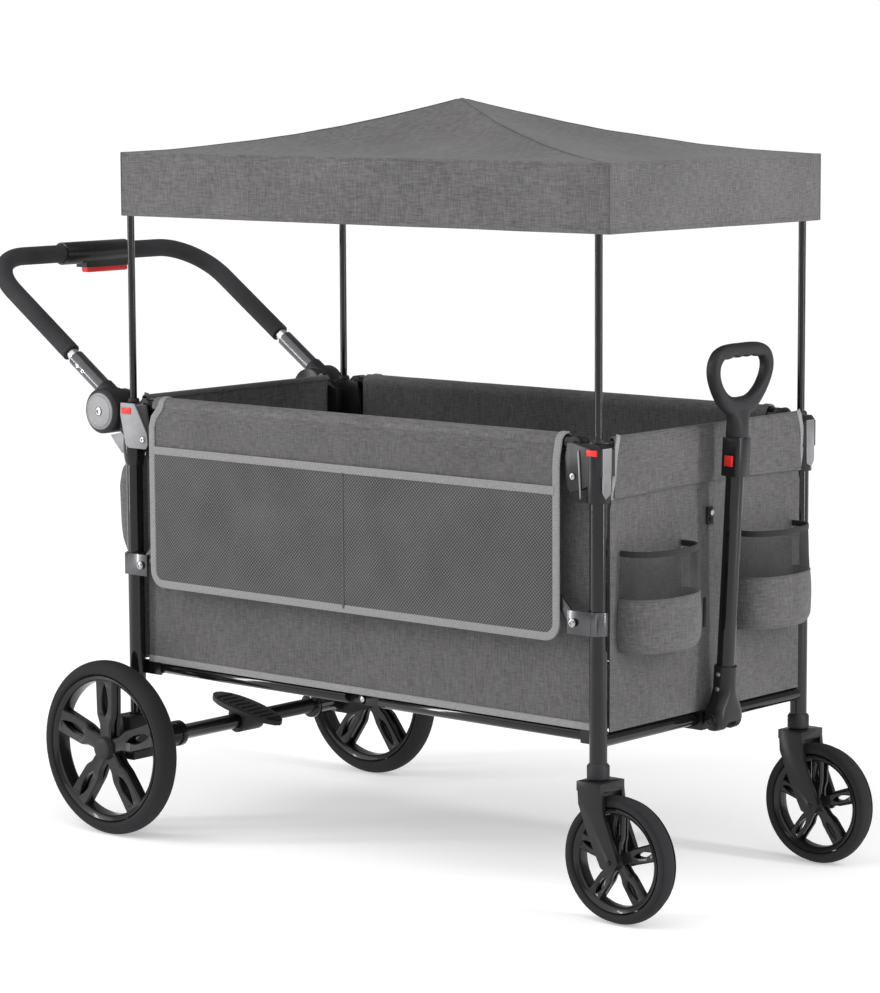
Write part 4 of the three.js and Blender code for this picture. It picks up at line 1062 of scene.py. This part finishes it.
for tag, s in SIDES:
    part = Part()
    us = linspace(-1, 1, 56)
    part.put(*grid(us, linspace(385, 462, 16), lambda u, v: cup_point(u, v, s)), "cloth")

    def floor_point(u, v):
        p = cup_point(u, 385, s)
        return (CUP_X + 1 + (p[0] - CUP_X - 1) * v, p[1], 385 - 1.2 * math.sin(math.pi * v))
    part.put(*grid(us, linspace(0.02, 1, 8), floor_point), "cloth")
    cup = part.make(f"cup_pocket_{tag}", "front", [f"cup_holder_{tag}"], "cloth", solid=1.6, sharp=60)
    part = Part()
    net_threads(part, lambda u, z: cup_point(u, z, s), linspace(-1, 1, 60), linspace(461, 527, 17))
    part.make(f"cup_net_{tag}", "front", (), "cloth", sharp=80)
    part = Part()
    for z, out, width, thick, key in ((528.0, 0.3, 9.0, 2.4, "elastic"), (462, 0.5, 3.4, 2.2, "tape_dark")):
        ring = shifted([cup_point(u, z, s) for u in linspace(-1, 1, 50)], (out, 0, 0))
        part.put(*ribbon(ring, width, thick, outward_normals(ring, s)), key)
    part.make(f"cup_trim_{tag}", "front", (), "cloth", sharp=60)

# ---------------------------------------------------------------- rear bag
BAG_X = -(XP + 9.8)


def bag_point(u, v):
    """A pocket of rounded-rectangle plan, its depth and width easing in at the bottom and the top."""
    z = 363 + v * (590 - 363)
    depth = float(np.interp(v, [0, 0.06, 0.16, 0.4, 0.8, 0.92, 1], [44, 62, 80, 99, 104, 98, 82]))
    half = float(np.interp(v, [0, 0.06, 0.2, 0.5, 1], [158, 174, 187, 194, 194]))
    r = min(42.0, depth - 4)
    lengths = (depth - r, r * math.pi / 2, 2 * (half - r), r * math.pi / 2, depth - r)
    q = (u + 1) / 2 * sum(lengths)
    if q < lengths[0]:
        x, y = q, -half
    elif q < sum(lengths[:2]):
        a = (q - lengths[0]) / r
        x, y = depth - r + r * math.sin(a), -half + r - r * math.cos(a)
    elif q < sum(lengths[:3]):
        x, y = depth, -half + r + (q - sum(lengths[:2]))
    elif q < sum(lengths[:4]):
        a = (q - sum(lengths[:3])) / r
        x, y = depth - r + r * math.cos(a), half - r + r * math.sin(a)
    else:
        x, y = depth - (q - sum(lengths[:4])) - r, half
    ripple = 2.0 * wobble(y, z, 21, 70) * min(1.0, x / 40)
    return (BAG_X - 0.6 - x - ripple, y, z - 5.0 * (x / depth) * v * v)


part = Part()
us = linspace(-1, 1, 80)
part.put(*grid(us, linspace(0, 1, 30), bag_point), "cloth")


def bag_floor(u, v):
    p = bag_point(u, 0)
    return (BAG_X - 0.6 + (p[0] - BAG_X + 0.6) * v, p[1], 363 + 1.5 * math.sin(math.pi * v))


part.put(*grid(us, linspace(0.03, 1, 8), bag_floor), "cloth")
bag = part.make("rear_storage_bag", "rear", ["rear_bag"], "cloth", solid=1.8, sharp=60)
part = Part()
rim_line = shifted([bag_point(u, 1) for u in linspace(-1, 1, 60)], (0, 0, -4))
part.put(*ribbon(rim_line, 11, 3.4, [(-n[0], -n[1], 0) for n in outward_normals(rim_line, 1)]), "tape")
part.make("rear_bag_binding", "rear", (), "cloth", sharp=60)


# ---------------------------------------------------------------- canopy
def roof_height(t):
    return EAVE_Z + (PEAK_Z - EAVE_Z) * (0.30 * t + 0.70 * t * t)


def eave_point(c, f):
    """A place on the eave, seen from above: c is the side and f runs along it."""
    corners = ((1, 1), (-1, 1), (-1, -1), (1, -1))
    a, b = corners[c], corners[(c + 1) % 4]
    return (a[0] + (b[0] - a[0]) * f) * HALF_L, (a[1] + (b[1] - a[1]) * f) * HALF_W


def facing(c):
    return ((0, 1), (-1, 0), (0, -1), (1, 0))[c]


def roof_point(c, f, t):
    """On the side c, t runs from the eave to the peak."""
    x, y = (q * (1 - t) for q in eave_point(c, f))
    sag = 9.5 * math.sin(math.pi * min(t * 1.1, 1)) * math.sin(math.pi * f)
    z = roof_height(t) - sag
    edge = min(1.0, t * 8) * min(1.0, (1 - t) * 5)
    z += edge * (1.3 * wobble(x, y, 31, 120) + 0.7 * wobble(x, y, 32, 50))
    return (x + ROOF_X, y, z)


def valance_point(c, f, v):
    x, y = eave_point(c, f)
    n = facing(c)
    wave_out = -1.4 * v * math.sin(math.pi * f) * (0.6 + 0.6 * wobble(x + y, 0, 33, 140))
    z = EAVE_Z - (EAVE_Z - HEM_Z) * v + 1.2 * v * wobble(x + y, 5, 34, 160) * math.sin(math.pi * f)
    return (x + ROOF_X + n[0] * wave_out, y + n[1] * wave_out, z)


top, sides = Part(), Part()
for c in range(4):
    along = linspace(0, 1, 29 if c % 2 else 49)
    up = [0, 0.012, 0.03, 0.06] + linspace(0.1, 1.0, 26)
    # the roof's cloth carries painted top light, a little lighter than the valance's
    top.put(*grid(along, up, lambda f, t: roof_point(c, f, min(t, 0.9995))), "roof")
    sides.put(*grid(along, linspace(0, 1, 9), lambda f, v: valance_point(c, f, v)), "roof_side")
roof = top.make("canopy_roof", "canopy", ["canopy"], "cloth", solid=1.4, sharp=75)
skirt = sides.make("canopy_valance", "canopy", (), "cloth", solid=1.4, sharp=50)
part = Part()
for c in range(4):
    eave = [roof_point(c, f, 0) for f in linspace(0, 1, 40)]
    part.put(*tube(shifted(eave, (0, 0, -0.3)), 2.0, 10), "roof")
    hem = [valance_point(c, f, 0.965) for f in linspace(0.003, 0.997, 40)]
    n = (*facing(c), 0)
    part.put(*ribbon(shifted(hem, (n[0] * 0.6, n[1] * 0.6, 0)), 6.0, 1.6, n), "roof_side")
    post = [valance_point(c, 0, v) for v in linspace(0.02, 0.99, 8)]
    part.put(*tube(post, 1.3, 8), "tape_dark")
    ridge = [roof_point(c, 0, t) for t in linspace(0.01, 0.985, 36)]
    part.put(*ribbon(shifted(ridge, (0, 0, 0.6)), 5.0, 1.4, (0, 0, 1)), "roof")
trim = part.make("canopy_trim", "canopy", (), "cloth", sharp=60)
for o in (roof, skirt, trim):
    soft(o)

# ---------------------------------------------------------------- stage, light, camera
me = bpy.data.meshes.new("floor_plane")
me.from_pydata([(-30, -30, 0), (30, -30, 0), (30, 30, 0), (-30, 30, 0)], [], [(0, 1, 2, 3)])
floor = linked("floor_plane", me)
m, nt, b = new_material("floor_pale", (0.8, 0.8, 0.805), 0.8, spec=0.1)
nt.links.new(colour_between(nt, field(nt, (2, 2, 2), 2), (0.79, 0.79, 0.795), (0.81, 0.81, 0.815)),
             b.inputs["Base Color"])
set_inputs(b, Emission_Color=(1, 1, 1, 1), Emission_Strength=0.36)
me.materials.append(m)

world = bpy.data.worlds.new("studio")
bpy.context.scene.world = world
world.use_nodes = True
wt = world.node_tree
coords, parts = new_node(wt, "TexCoord"), new_node(wt, "SeparateXYZ")
wt.links.new(coords.outputs["Generated"], parts.inputs[0])
sky = colour_between(wt, parts.outputs["Z"], (1, 1, 1), (0.30, 0.30, 0.305), 0.03, 0.10)
wt.links.new(sky, set_inputs(wt.nodes["Background"], Strength=1.0).inputs["Color"])


def sun(name, toward, strength, spread):
    data = bpy.data.lights.new(name, "SUN")
    data.energy = strength
    data.angle = math.radians(spread)
    linked(name, data).rotation_euler = Vector(toward).to_track_quat("Z", "Y").to_euler()


def lamp(name, at, size, power, aim):
    data = bpy.data.lights.new(name, "AREA")
    data.shape = "RECTANGLE"
    data.size, data.size_y = size
    data.energy = power
    o = linked(name, data)
    o.location = at
    o.rotation_euler = (Vector(aim) - Vector(at)).to_track_quat("-Z", "Y").to_euler()


sun("key_sun", (-0.35, -0.62, 0.72), 1.42, 70)
sun("front_sun", (0.75, -0.2, 0.63), 1.15, 70)
lamp("left_strip", (-2.6, -2.6, 1.4), (0.24, 2.8), 55, (0, 0, 0.5))
lamp("right_strip", (3.0, 0.6, 1.4), (0.24, 2.8), 40, (0.3, 0, 0.5))

cam_data = bpy.data.cameras.new("camera")
cam = linked("camera", cam_data)
AZ, EL, ROLL = math.radians(41.0237), math.radians(7.3155), math.radians(-0.2802)
fwd = Vector((-math.sin(AZ) * math.cos(EL), math.cos(AZ) * math.cos(EL), -math.sin(EL)))
right = Vector((math.cos(AZ), math.sin(AZ), 0))
up = right.cross(fwd)
right2 = right * math.cos(ROLL) + up * math.sin(ROLL)
up2 = up * math.cos(ROLL) - right * math.sin(ROLL)
basis = Matrix((right2, up2, -fwd)).transposed().to_4x4()
cam.matrix_world = Matrix.Translation((3.5085 + SHIFT, -4.0803, 1.2411)) @ basis
cam_data.sensor_width = 36
cam_data.lens = 3479.2 / 993 * 36
cam_data.clip_end = 200
bpy.context.scene.camera = cam
bpy.context.scene.view_settings.view_transform = "Standard"
